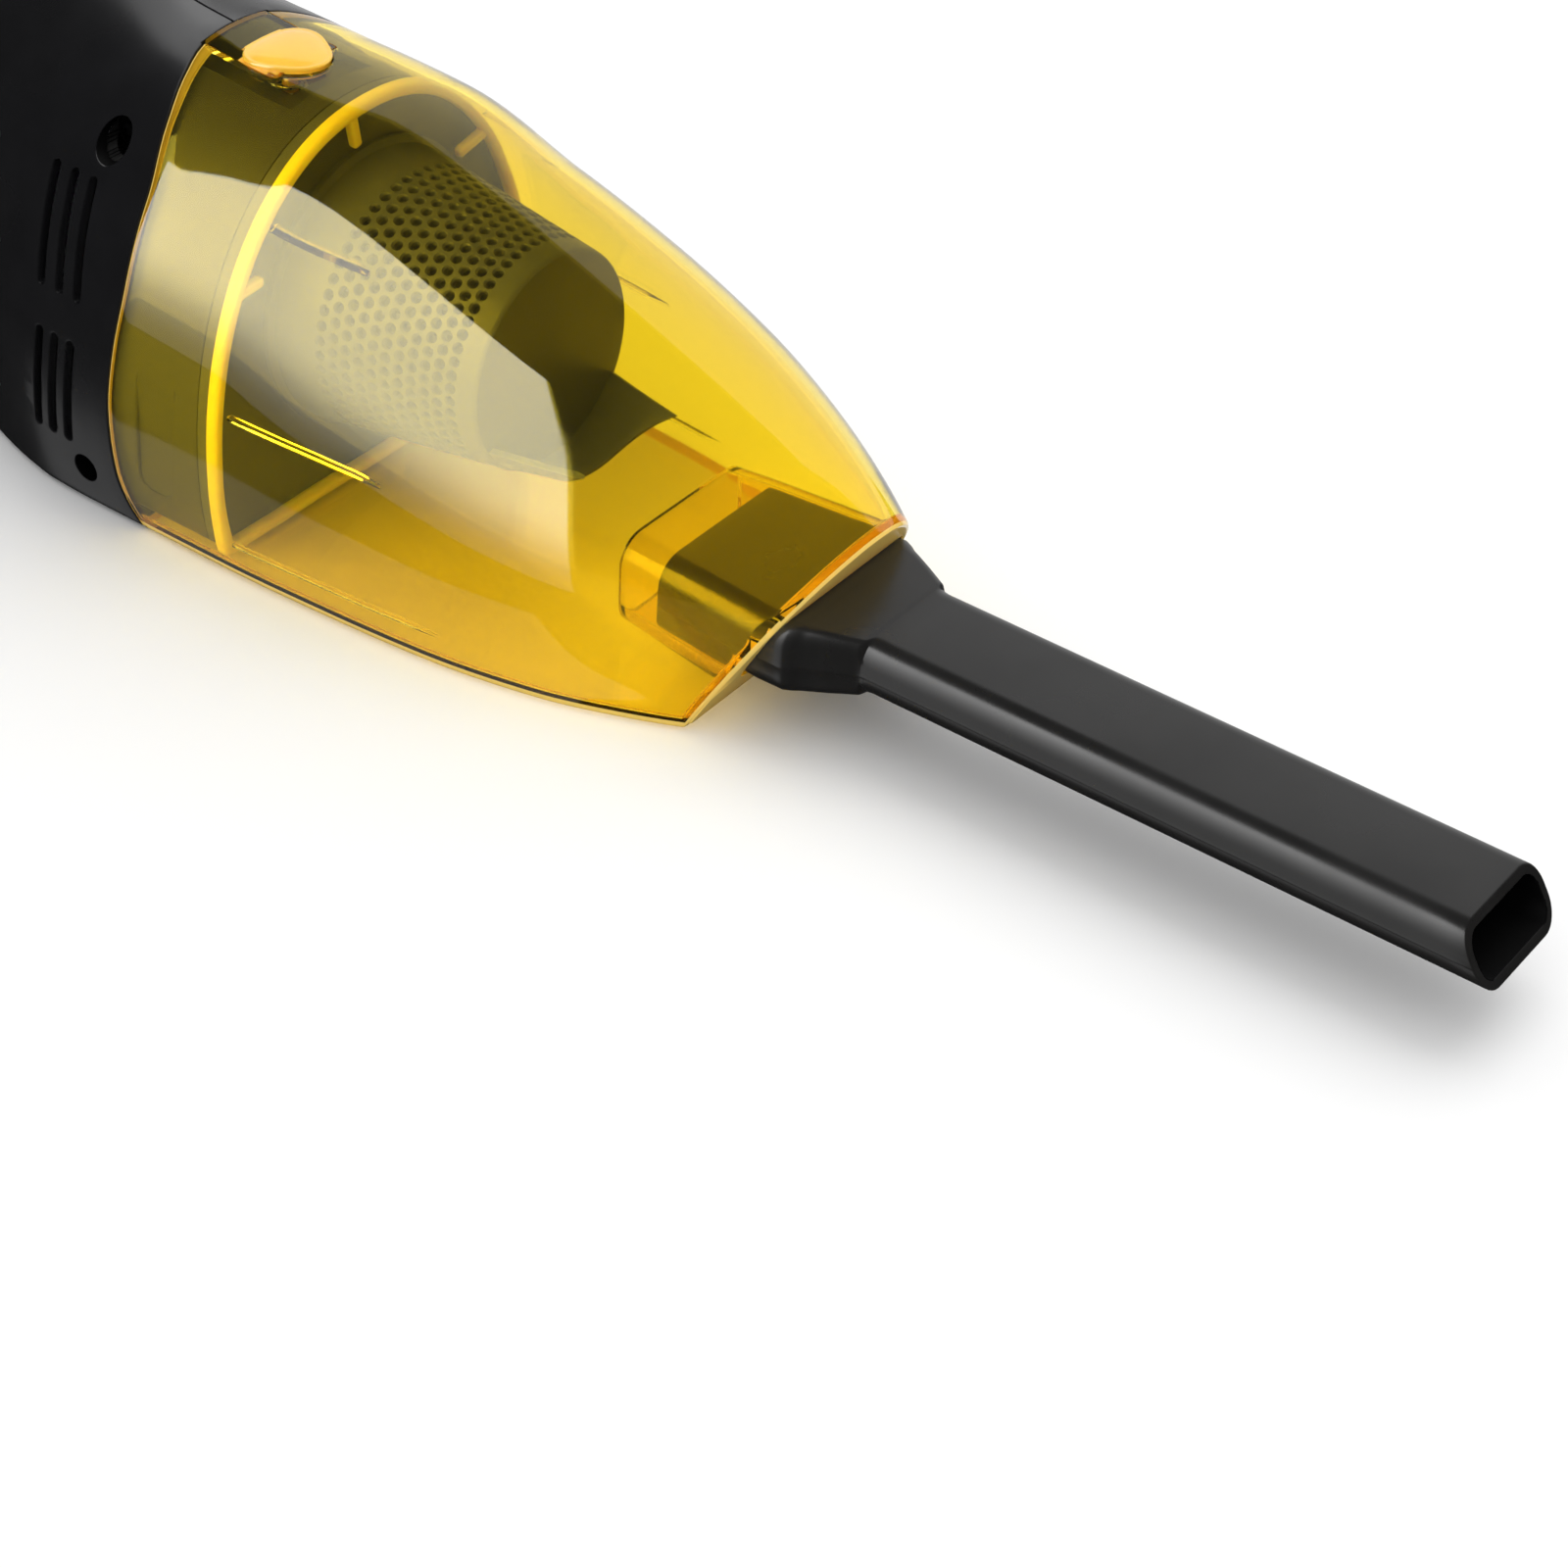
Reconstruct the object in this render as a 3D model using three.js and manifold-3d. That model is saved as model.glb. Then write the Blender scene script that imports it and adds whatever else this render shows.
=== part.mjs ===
// Handheld vacuum with a transparent dust cup and a crevice tool.
// Millimetres, +X towards the nose, +Y to the object's left, +Z up, flat underside on z = 0.
// Lengths along X are measured from the top of the joint line between body and cup, and the
// whole group is moved at the end so that the origin lies under the middle of the object.
import * as THREE from 'three';
import { mergeVertices } from 'three/addons/utils/BufferGeometryUtils.js';
import Module from 'manifold-3d';

const wasm = await Module();
wasm.setup();

// ---- driving dimensions ----------------------------------------------------------------
const GAP = 0.3;                 // clearance kept between pieces that touch
const BODY_WALL = 2.4;
const CUP_WALL = 2.0;
const COLLAR_INSET = 3.3;        // collar surface below the outer surface of the cup
const COLLAR_WALL = 2.2;
const AXIS_Z = 48;               // common axis of filter, fan and motor
const REAR_X = -154.5;           // rear end of the handle
const TIP_TOP_X = 316;           // upper edge of the crevice tool's slanted mouth
const TIP_SLANT = -0.64;         // mouth of the tool: change of x for each mm of height
const FACE_X = 150.2;            // front face of the cup where it meets the floor
const FACE_SLANT = 0.56;         // front face of the cup: change of x for each mm of height
const FACE_WALL = 2.8;           // front wall, measured along X
const LOWER_TUCK = 1.6;          // how far the sides draw in towards the floor
const BASE_CORNER = 2.4;         // radius between sides and floor
const ARCH_STEPS = 14;
const GLAND_X = -160;            // outer end of the cable gland
const GLAND_Z = 25;

// Outer form as monotone curves through [x, value] stations.
const halfWidth = monotone([
  [-154.5, 7], [-150, 12.5], [-142, 16], [-120, 19.5], [-95, 23.5], [-75, 30], [-55, 39.5],
  [-38, 47], [-23, 51.6], [-12, 53.6], [0, 54], [41, 54], [70, 52.9], [95, 50.9],
  [120, 46.2], [140, 39.1], [160, 29.1], [185, 14],
]);
const ridge = monotone([
  [-154.5, 84], [-152, 95], [-146, 107], [-134, 117], [-112, 123.5], [-85, 124], [-60, 118],
  [-36, 107], [-20, 100.5], [-11, 98.2], [0, 97], [8, 96.1], [16, 95.3], [28, 94.9], [41, 94.3],
  [70, 86.9], [95, 78.6], [120, 69.2], [140, 60.8], [160, 50.5], [185, 30],
]);
const floorLine = monotone([[-154.5, 44], [-152, 26], [-146, 12], [-134, 3.5], [-118, 0], [185, 0]]);
const archBase = monotone([[-154.5, 60], [-146, 30], [-130, 22], [60, 22], [110, 19], [185, 11]]);

// Power of the arch: 2 is an ellipse, more is fuller at the shoulders.
const archPower = monotone([[-20, 2], [0, 2.1], [20, 2.2], [41, 2.16], [70, 2], [185, 2]]);

// Joint line between body and cup, as x over z.
const rimLine = monotone([
  [-6, 18], [1.4, 15], [6.6, 12], [14, 10], [29, 9.2], [43, 10.3], [58, 11.6], [75, 11],
  [87, 6.7], [93, 2.9], [97, 0], [110, -1],
]);

// ---- general helpers -------------------------------------------------------------------
// Monotone cubic curve through the stations, after Fritsch and Carlson.
function monotone(stations) {
  const xs = stations.map((s) => s[0]);
  const ys = stations.map((s) => s[1]);
  const count = xs.length;
  const slope = [];
  for (let i = 0; i < count - 1; i += 1) slope.push((ys[i + 1] - ys[i]) / (xs[i + 1] - xs[i]));
  const tangent = [slope[0]];
  for (let i = 1; i < count - 1; i += 1) {
    const product = slope[i - 1] * slope[i];
    tangent.push(product <= 0 ? 0 : (2 * product) / (slope[i - 1] + slope[i]));
  }
  tangent.push(slope[count - 2]);
  return (x) => {
    if (x <= xs[0]) return ys[0];
    if (x >= xs[count - 1]) return ys[count - 1];
    let i = 0;
    while (x > xs[i + 1]) i += 1;
    const span = xs[i + 1] - xs[i];
    const t = (x - xs[i]) / span;
    const t2 = t * t;
    const t3 = t2 * t;
    return ys[i] * (2 * t3 - 3 * t2 + 1) + tangent[i] * span * (t3 - 2 * t2 + t)
      + ys[i + 1] * (3 * t2 - 2 * t3) + tangent[i + 1] * span * (t3 - t2);
  };
}

// Closed body through rings of equal point count, its two ends closed by fans.
function loft(rings) {
  const count = rings[0].length;
  const points = rings.flat();
  const faces = [];
  for (let r = 0; r < rings.length - 1; r += 1) {
    for (let i = 0; i < count; i += 1) {
      const j = (i + 1) % count;
      const a = r * count + i;
      const b = r * count + j;
      faces.push(a, b, b + count, a, b + count, a + count);
    }
  }
  const caps = [[0, true], [rings.length - 1, false]];
  for (const [ring, flip] of caps) {
    const centre = new THREE.Vector3();
    rings[ring].forEach((p) => centre.addScaledVector(p, 1 / count));
    points.push(centre);
    const hub = points.length - 1;
    for (let i = 0; i < count; i += 1) {
      const a = ring * count + i;
      const b = ring * count + ((i + 1) % count);
      if (flip) faces.push(hub, b, a);
      else faces.push(hub, a, b);
    }
  }
  const geometry = new THREE.BufferGeometry();
  const values = points.flatMap((p) => p.toArray());
  geometry.setAttribute('position', new THREE.Float32BufferAttribute(values, 3));
  geometry.setIndex(faces);
  return solid(geometry);
}

function solid(source) {
  let geometry = source.clone();
  geometry.deleteAttribute('normal');
  geometry.deleteAttribute('uv');
  geometry = mergeVertices(geometry, 1e-4);
  const triVerts = new Uint32Array(geometry.index.array);
  const vertProperties = new Float32Array(geometry.attributes.position.array);
  const body = new wasm.Manifold(new wasm.Mesh({ numProp: 3, vertProperties, triVerts }));
  if (body.volume() >= 0) return body;
  for (let i = 0; i < triVerts.length; i += 3) {
    [triVerts[i], triVerts[i + 1]] = [triVerts[i + 1], triVerts[i]];
  }
  return new wasm.Manifold(new wasm.Mesh({ numProp: 3, vertProperties, triVerts }));
}

function toGeometry(body) {
  const mesh = body.getMesh();
  const geometry = new THREE.BufferGeometry();
  const values = new Float32Array(mesh.vertProperties);
  geometry.setAttribute('position', new THREE.BufferAttribute(values, 3));
  geometry.setIndex(new THREE.BufferAttribute(new Uint32Array(mesh.triVerts), 1));
  geometry.computeVertexNormals();
  return geometry;
}

function box(x0, x1, y0, y1, z0, z1) {
  const geometry = new THREE.BoxGeometry(x1 - x0, y1 - y0, z1 - z0);
  return solid(geometry.translate((x0 + x1) / 2, (y0 + y1) / 2, (z0 + z1) / 2));
}

function rodX(radius, x0, x1, y = 0, z = AXIS_Z, sides = 24) {
  const geometry = new THREE.CylinderGeometry(radius, radius, x1 - x0, sides);
  return solid(geometry.rotateZ(-Math.PI / 2).translate((x0 + x1) / 2, y, z));
}

function rodY(radius, y0, y1, x, z, sides = 16) {
  const geometry = new THREE.CylinderGeometry(radius, radius, y1 - y0, sides);
  return solid(geometry.translate(x, (y0 + y1) / 2, z));
}

function rodZ(radius, z0, z1, x, y, sides = 16) {
  const geometry = new THREE.CylinderGeometry(radius, radius, z1 - z0, sides);
  return solid(geometry.rotateX(Math.PI / 2).translate(x, y, (z0 + z1) / 2));
}

// Ring or cone about the motor axis: the profile is a closed list of [x, radius].
function turned(profile, sides = 24) {
  const outline = [...profile, profile[0]].map(([x, r]) => new THREE.Vector2(r, x));
  const geometry = new THREE.LatheGeometry(outline, sides);
  return solid(geometry.rotateZ(-Math.PI / 2).translate(0, 0, AXIS_Z));
}

// Side outline in the x-z plane pushed out along Y.
function sideCut(shape, y0, y1, curveSegments = 6) {
  const options = { depth: y1 - y0, bevelEnabled: false, curveSegments };
  const geometry = new THREE.ExtrudeGeometry(shape, options);
  return solid(geometry.rotateX(Math.PI / 2).translate(0, y1, 0));
}

// Polygon with every corner rounded to the radius.
function roundedShape(corners, radius) {
  const shape = new THREE.Shape();
  const count = corners.length;
  corners.forEach((corner, i) => {
    const before = corners[(i + count - 1) % count];
    const after = corners[(i + 1) % count];
    const entry = towards(corner, before, radius);
    const exit = towards(corner, after, radius);
    if (i === 0) shape.moveTo(entry[0], entry[1]);
    else shape.lineTo(entry[0], entry[1]);
    shape.quadraticCurveTo(corner[0], corner[1], exit[0], exit[1]);
  });
  shape.closePath();
  return shape;
}

function towards(from, to, distance) {
  const length = Math.hypot(to[0] - from[0], to[1] - from[1]);
  const t = Math.min(distance / length, 0.45);
  return [from[0] + (to[0] - from[0]) * t, from[1] + (to[1] - from[1]) * t];
}

// Round wire along a smooth curve through the points.
function wire(points, radius, steps, sides = 6) {
  const path = new THREE.CatmullRomCurve3(points.map((p) => new THREE.Vector3(...p)));
  const section = new THREE.Shape();
  for (let i = 0; i < sides; i += 1) {
    const angle = (i * 2 * Math.PI) / sides;
    if (i === 0) section.moveTo(radius, 0);
    else section.lineTo(radius * Math.cos(angle), radius * Math.sin(angle));
  }
  section.closePath();
  return new THREE.ExtrudeGeometry(section, { steps, extrudePath: path, bevelEnabled: false });
}

// ---- outer form ------------------------------------------------------------------------
// Arch over gently drawn-in sides and a flat floor, moved inwards by the inset.
function section(x, inset) {
  const w = halfWidth(x) - inset;
  const top = ridge(x) - inset;
  const bottom = floorLine(x) + inset;
  const base = Math.max(archBase(x), bottom + 2 * BASE_CORNER);
  const tuck = Math.min(LOWER_TUCK, w * 0.2);
  const power = archPower(x);
  const points = [];
  for (let i = 0; i <= ARCH_STEPS; i += 1) {
    const angle = i === ARCH_STEPS ? Math.PI : (Math.PI * i) / ARCH_STEPS;
    const across = Math.sign(Math.cos(angle)) * Math.abs(Math.cos(angle)) ** (2 / power);
    const up = Math.max(Math.sin(angle), 0) ** (2 / power);
    points.push(new THREE.Vector3(x, w * across, base + (top - base) * up));
  }
  const side = [];
  for (const drop of [0.4, 0.75]) {
    const z = base + (bottom + BASE_CORNER - base) * drop;
    side.push([w - tuck * drop * drop, z]);
  }
  const foot = w - tuck;
  for (const turn of [0, 0.5, 1]) {
    const angle = (Math.PI / 2) * turn;
    const y = foot - BASE_CORNER + BASE_CORNER * Math.cos(angle);
    side.push([y, bottom + BASE_CORNER - BASE_CORNER * Math.sin(angle)]);
  }
  side.forEach(([y, z]) => points.push(new THREE.Vector3(x, -y, z)));
  side.reverse().forEach(([y, z]) => points.push(new THREE.Vector3(x, y, z)));
  return points;
}

function form(stations, inset) {
  return loft(stations.map((x) => section(x, inset)));
}

// Everything in front of (side = 1) or behind (side = -1) the joint line.
function rimSide(side, gap) {
  const shape = new THREE.Shape();
  const far = side * 400;
  shape.moveTo(far, -6);
  for (let z = -6; z <= 110; z += 7.25) shape.lineTo(rimLine(z) + side * gap, z);
  shape.lineTo(rimLine(140) + side * gap, 140);
  shape.lineTo(far, 140);
  shape.closePath();
  return sideCut(shape, -80, 80);
}

// Everything behind a plane that leans forward with height.
function behindFace(x, slant) {
  const shape = new THREE.Shape();
  shape.moveTo(-300, -20);
  shape.lineTo(x - 20 * slant, -20);
  shape.lineTo(x + 150 * slant, 150);
  shape.lineTo(-300, 150);
  shape.closePath();
  return sideCut(shape, -80, 80);
}

// Rounded rectangle across X, used by the mouth duct and the crevice tool.
function slotSection(x, half, z0, z1, radius) {
  const points = [];
  const corners = [[half - radius, z1 - radius, 0], [radius - half, z1 - radius, 1],
    [radius - half, z0 + radius, 2], [half - radius, z0 + radius, 3]];
  for (const [y, z, quarter] of corners) {
    for (let i = 0; i <= 4; i += 1) {
      const angle = (Math.PI / 2) * (quarter + i / 4);
      points.push(new THREE.Vector3(x, y + radius * Math.cos(angle), z + radius * Math.sin(angle)));
    }
  }
  return points;
}

// Tube stations are [x, half width, lower z, upper z, corner radius].
function slotForm(stations, inset) {
  return loft(stations.map(([x, half, z0, z1, radius]) => (
    slotSection(x, half - inset, z0 + inset, z1 - inset, Math.max(radius - inset, 1.2)))));
}

// ---- materials -------------------------------------------------------------------------
function finish(color, roughness, metalness = 0) {
  return new THREE.MeshStandardMaterial({ color, roughness, metalness });
}
const blackGloss = finish(0x17181a, 0.32);
const blackSatin = finish(0x1c1d1f, 0.5);
const amberClear = finish(0xf0b81e, 0.08);
const yellowSeal = finish(0xffe04a, 0.45);
const amberOpaque = finish(0xffc93c, 0.3);
const rubber = finish(0x222222, 0.85);
const steel = finish(0xb9bcc0, 0.35, 1);
const zincScrew = finish(0x8f9296, 0.4, 1);
const filterPaper = finish(0xe8e6dc, 0.9);
const fanPlastic = finish(0xd8d8d4, 0.45);
const magnetDark = finish(0x3a3a3c, 0.6);
const copper = finish(0xb8703a, 0.35, 1);
const leadRed = finish(0xa82020, 0.5);
const leadBlack = finish(0x202020, 0.5);

const vacuum = new THREE.Group();
const design = new THREE.Group();
vacuum.add(design);

function place(name, body, material) {
  const geometry = body.isBufferGeometry ? body : toGeometry(body);
  const mesh = new THREE.Mesh(geometry, material);
  mesh.name = name;
  design.add(mesh);
}

// ---- body shells -----------------------------------------------------------------------
const bodyStations = [
  REAR_X, -152.5, -149, -143, -133, -118, -100, -82, -66, -52, -40, -29, -18, -6, 20,
];
const handleHole = [[-58, 79], [-133, 55], [-139, 97], [-64, 102]];
const handleHoleWider = [[-54.2, 76.4], [-131.9, 51.5], [-142.5, 99.6], [-62.6, 104.8]];
const HOLE_RADIUS = 15;
const SCREW_RADIUS = 1.5;
const screwSeats = [
  { x: -3.2, z: 81.2, boss: 4.2, recess: 4.2 },
  { x: 0.3, z: 10.2, boss: 3.6, recess: 3.3 },
  { x: -44, z: 11, boss: 3.6, recess: 3.3 },
  { x: -112, z: 26, boss: 3.6, recess: 3.3 },
  { x: -148, z: 76, boss: 3.2, recess: 2.8 },
  { x: -98, z: 113.5, boss: 3.2, recess: 2.8 },
];
const ventRows = [
  { xs: [-13.9, -8.2, -2.7], lean: -1.4, z0: 50, z1: 74.6 },
  { xs: [-12.6, -7.9, -3.0], lean: 0.9, z0: 16, z1: 41 },
];
const VENT_WIDTH = 2.3;
// Notch in the cup that the button's tongue lies in; the rim behind it is cut straight down.
const BUTTON = { x1: 21, half: 9.9 };
const SWITCH_X = -56;
const SWITCH_TILT = THREE.MathUtils.degToRad(22);
const SWITCH_Z = ridge(SWITCH_X) - 1.2;

function ventSlots() {
  const cuts = [];
  for (const row of ventRows) {
    for (const x of row.xs) {
      const half = VENT_WIDTH / 2;
      const shape = new THREE.Shape();
      shape.moveTo(x - row.lean - half, row.z0);
      shape.lineTo(x - row.lean + half, row.z0);
      shape.lineTo(x + row.lean + half, row.z1);
      shape.lineTo(x + row.lean - half, row.z1);
      shape.closePath();
      cuts.push(sideCut(shape, 24, 70), sideCut(shape, -70, -24));
    }
  }
  return cuts;
}

function switchFrame(body) {
  return body.rotate([0, THREE.MathUtils.radToDeg(SWITCH_TILT), 0]).translate([SWITCH_X, 0, SWITCH_Z]);
}

function bodyShells() {
  const outer = form(bodyStations, 0).subtract(sideCut(roundedShape(handleHole, HOLE_RADIUS), -80, 80));
  const innerStations = bodyStations.map((x) => Math.max(x, REAR_X + BODY_WALL));
  const innerForm = form([...new Set(innerStations)], BODY_WALL);
  const inner = innerForm.subtract(sideCut(roundedShape(handleHoleWider, HOLE_RADIUS), -80, 80));
  let shell = outer.subtract(inner).intersect(rimSide(-1, GAP / 2));
  for (const seat of screwSeats) {
    const boss = rodY(seat.boss, -70, 70, seat.x, seat.z, 10).intersect(outer);
    shell = shell.add(boss.intersect(rimSide(-1, GAP / 2)));
  }
  for (const cut of ventSlots()) shell = shell.subtract(cut);
  for (const seat of screwSeats) {
    const reach = sideDepth(seat.x, seat.z);
    shell = shell.subtract(rodY(seat.recess, -reach - 20, -reach + 6, seat.x, seat.z, 12));
    shell = shell.subtract(rodY(SCREW_RADIUS + 0.4, -reach, 0.5, seat.x, seat.z, 8));
    shell = shell.subtract(rodY(SCREW_RADIUS + 0.4, -0.5, 9, seat.x, seat.z, 8));
  }
  shell = shell.subtract(switchFrame(box(-14, 14, -5.5, 5.5, -2.4, 12)));
  shell = shell.subtract(switchFrame(box(-9, 9, -4, 4, -9, 2)));
  shell = shell.subtract(rodX(6.3, -170, -140, 0, GLAND_Z, 20));
  shell = shell.subtract(box(-GAP / 2, 30, -BUTTON.half - GAP, BUTTON.half + GAP, 85, 110));
  const left = shell.intersect(box(-200, 60, GAP / 2, 90, -10, 150));
  const right = shell.intersect(box(-200, 60, -90, -GAP / 2, -10, 150));
  return { left, right };
}

// Half width of the outer form at a given height.
function sideDepth(x, z) {
  const base = archBase(x);
  if (z <= base) return halfWidth(x) - LOWER_TUCK * ((base - z) / base) ** 2;
  const rise = (z - base) / (ridge(x) - base);
  return halfWidth(x) * Math.max(1 - rise ** archPower(x), 0) ** (1 / archPower(x));
}

const shells = bodyShells();
place('body_shell_left', shells.left, blackGloss);
place('body_shell_right', shells.right, blackGloss);

screwSeats.forEach((seat, i) => {
  const head = -sideDepth(seat.x, seat.z) + 6;
  const shank = rodY(SCREW_RADIUS, head - 1, 8, seat.x, seat.z, 8);
  const cap = rodY(2.5, head - 2, head - GAP, seat.x, seat.z, 12);
  const drive = box(seat.x - 1.6, seat.x + 1.6, head - 3, head - 1.3, seat.z - 0.35, seat.z + 0.35);
  place(`shell_screw_${i + 1}`, shank.add(cap).subtract(drive), zincScrew);
});

// ---- collar that the dust cup slides over ------------------------------------------------
const COLLAR_REAR = -8;
const COLLAR_FRONT = 33.4;
const PORT_RADIUS = 29.5;
// Sunk shelf in the collar that lets the button go down.
const SHELF = { x1: 28, half: 12.4, z: 88.6 };
const WELL = { x: 16, y: 7, floor: 80.5 };

function collar() {
  const stations = [COLLAR_REAR, 4, 18, COLLAR_FRONT];
  const outer = form(stations, COLLAR_INSET);
  const innerStations = [COLLAR_REAR - 1, 4, 18, COLLAR_FRONT - COLLAR_WALL];
  const inner = form(innerStations, COLLAR_INSET + COLLAR_WALL);
  let body = outer.subtract(inner).subtract(rodX(PORT_RADIUS, 20, 60));
  const well = box(WELL.x - 7, WELL.x + 7, -WELL.y, WELL.y, WELL.floor - 1.8, 90).intersect(outer);
  const shelf = box(COLLAR_REAR, SHELF.x1 + 2, -SHELF.half - 2, SHELF.half + 2, SHELF.z - 2.2, SHELF.z + 1);
  body = body.add(well).add(shelf.intersect(outer));
  body = body.subtract(box(COLLAR_REAR - 1, SHELF.x1, -SHELF.half, SHELF.half, SHELF.z, 100));
  body = body.subtract(box(WELL.x - 5.4, WELL.x + 5.4, -WELL.y + 1.6, WELL.y - 1.6, WELL.floor, 100));
  for (const seat of screwSeats.slice(0, 2)) {
    body = body.subtract(rodY(seat.boss + 0.5, -70, 70, seat.x, seat.z));
  }
  const pane = roundedShape([[15, 11], [25, 11], [29, 72], [17, 72]], 4);
  for (const [y0, y1] of [[-60, -49.9], [49.9, 60]]) body = body.subtract(sideCut(pane, y0, y1));
  return body;
}
place('front_collar', collar(), blackSatin);

// ---- release button and its spring -------------------------------------------------------
const DOME = { x: 16, long: 9.2, wide: 9.6, rise: 1.6 };

function domeRing(scale, z) {
  const points = [];
  for (let i = 0; i < 24; i += 1) {
    const angle = (2 * Math.PI * i) / 24;
    const reach = 1 + 0.09 * Math.cos(3 * angle);
    const x = DOME.x + DOME.long * scale * reach * Math.cos(angle);
    points.push(new THREE.Vector3(x, DOME.wide * scale * reach * Math.sin(angle), z));
  }
  return points;
}

function releaseButton() {
  const stations = [-4, 8, 18, 28];
  const wall = form(stations, 0).subtract(form([-5, 8, 18, 29], CUP_WALL));
  const strip = box(GAP / 2, BUTTON.x1 - GAP, -BUTTON.half + GAP, BUTTON.half - GAP, 80, 110);
  const tongue = wall.intersect(strip);
  const top = ridge(DOME.x);
  const dome = loft([domeRing(0.97, top - 3), domeRing(0.97, top + 0.3), domeRing(0.92, top + 0.9),
    domeRing(0.75, top + 1.35), domeRing(0.4, top + DOME.rise)]);
  const stem = rodZ(1.8, WELL.floor + 4, top - 1, WELL.x, 0, 10);
  return tongue.add(dome).add(stem);
}
place('release_button', releaseButton(), amberOpaque);

function coil(radius, wireRadius, turns, z0, z1, x) {
  const points = [];
  const perTurn = 8;
  for (let i = 0; i <= turns * perTurn; i += 1) {
    const angle = (2 * Math.PI * i) / perTurn;
    const z = z0 + ((z1 - z0) * i) / (turns * perTurn);
    points.push([x + radius * Math.cos(angle), radius * Math.sin(angle), z]);
  }
  return wire(points, wireRadius, turns * perTurn, 5);
}
place('release_spring', coil(3.3, 0.45, 4, WELL.floor + 0.8, WELL.floor + 7.6, WELL.x), steel);

// ---- dust cup ----------------------------------------------------------------------------
const ductStations = [
  [124, 21.3, 7.2, 29.4, 6.5], [134, 22.3, 7.2, 29.7, 6.5], [168, 25.4, 7.0, 30.1, 6.5],
  [182, 26.4, 7.0, 30.2, 6.5],
];
const ductBoreStations = [
  [122, 19.1, 9.2, 27.5, 5], [134, 20.5, 9.2, 27.8, 5], [168, 23.6, 8.9, 28.2, 5],
  [190, 25.4, 8.8, 28.3, 5],
];
// Each rib starts at [x0, z] and slopes down towards the nose by tilt degrees.
const wallRibs = [
  { x0: 42, x1: 65, z: 77.2, tilt: 8.2 },
  { x0: 43, x1: 83, z: 40, tilt: 1.7 },
  { x0: 43, x1: 100, z: 8.5, tilt: 0 },
];

function dustCup() {
  const stations = [-3, 10, 24, 41, 56, 72, 88, 104, 118, 131, 143, 154, 165, 176];
  const outer = form(stations, 0);
  const inner = form([-4, ...stations.slice(1)], CUP_WALL);
  const hollow = inner.intersect(behindFace(FACE_X - FACE_WALL, FACE_SLANT));
  let cup = outer.subtract(hollow);
  for (const rib of wallRibs) {
    const strip = box(0, rib.x1 - rib.x0, -60, 60, -0.6, 0.6)
      .rotate([0, rib.tilt, 0]).translate([rib.x0, 0, rib.z]);
    const core = form([-4, ...stations.slice(1)], CUP_WALL + 1.2);
    const band = form(stations, CUP_WALL - 0.6).subtract(core);
    cup = cup.add(strip.intersect(band));
  }
  cup = cup.add(slotForm(ductStations, 0).intersect(outer));
  cup = cup.subtract(slotForm(ductBoreStations, 0));
  cup = cup.intersect(behindFace(FACE_X, FACE_SLANT)).intersect(rimSide(1, GAP / 2));
  const notch = box(-20, BUTTON.x1, -BUTTON.half, BUTTON.half, 80, 110);
  const domeHole = loft([domeRing(1.01, 85), domeRing(1.01, 110)]);
  return cup.subtract(notch).subtract(domeHole);
}
place('dust_cup', dustCup(), amberClear);

// ---- crevice tool --------------------------------------------------------------------------
const toolStations = [
  [134, 20.1, 9.9, 27.4, 5], [160, 22.4, 10.4, 27.8, 5], [167.5, 22.9, 11, 27.8, 5],
  [170, 22, 11.3, 27.6, 5], [180, 15.9, 13, 26.5, 5.2], [183, 15.1, 13.3, 26.3, 5.4],
  [330, 14.9, 13.3, 26.3, 5.6],
];
const TOOL_WALL = 2;

function creviceTool() {
  const bore = toolStations.map((s, i) => [s[0] + (i === 0 ? -1 : 0), ...s.slice(1)]);
  const hollow = slotForm([...bore, [335, ...toolStations.at(-1).slice(1)]], TOOL_WALL);
  const tube = slotForm(toolStations, 0).subtract(hollow);
  return tube.intersect(behindFace(TIP_TOP_X - 26.3 * TIP_SLANT, TIP_SLANT));
}
place('crevice_tool', creviceTool(), blackGloss);

// ---- filter ----------------------------------------------------------------------------------
const CAGE = { rear: 36.6, front: 88.5, rearRadius: 31.8, frontRadius: 24.7, wall: 1.5 };
const FLANGE = { rear: 33.7, front: 36.3 };

function filterFlange() {
  const plate = form([FLANGE.rear, FLANGE.front], COLLAR_INSET);
  const bore = rodX(27.6, 20, 45, 0, AXIS_Z, 28);
  return plate.add(rodX(29.2, 28, FLANGE.rear + 1, 0, AXIS_Z, 28)).subtract(bore);
}
place('filter_flange', filterFlange(), blackSatin);

function coneRadius(x) {
  const t = (x - CAGE.rear) / (CAGE.front - CAGE.rear);
  return CAGE.rearRadius + (CAGE.frontRadius - CAGE.rearRadius) * t;
}

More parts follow.
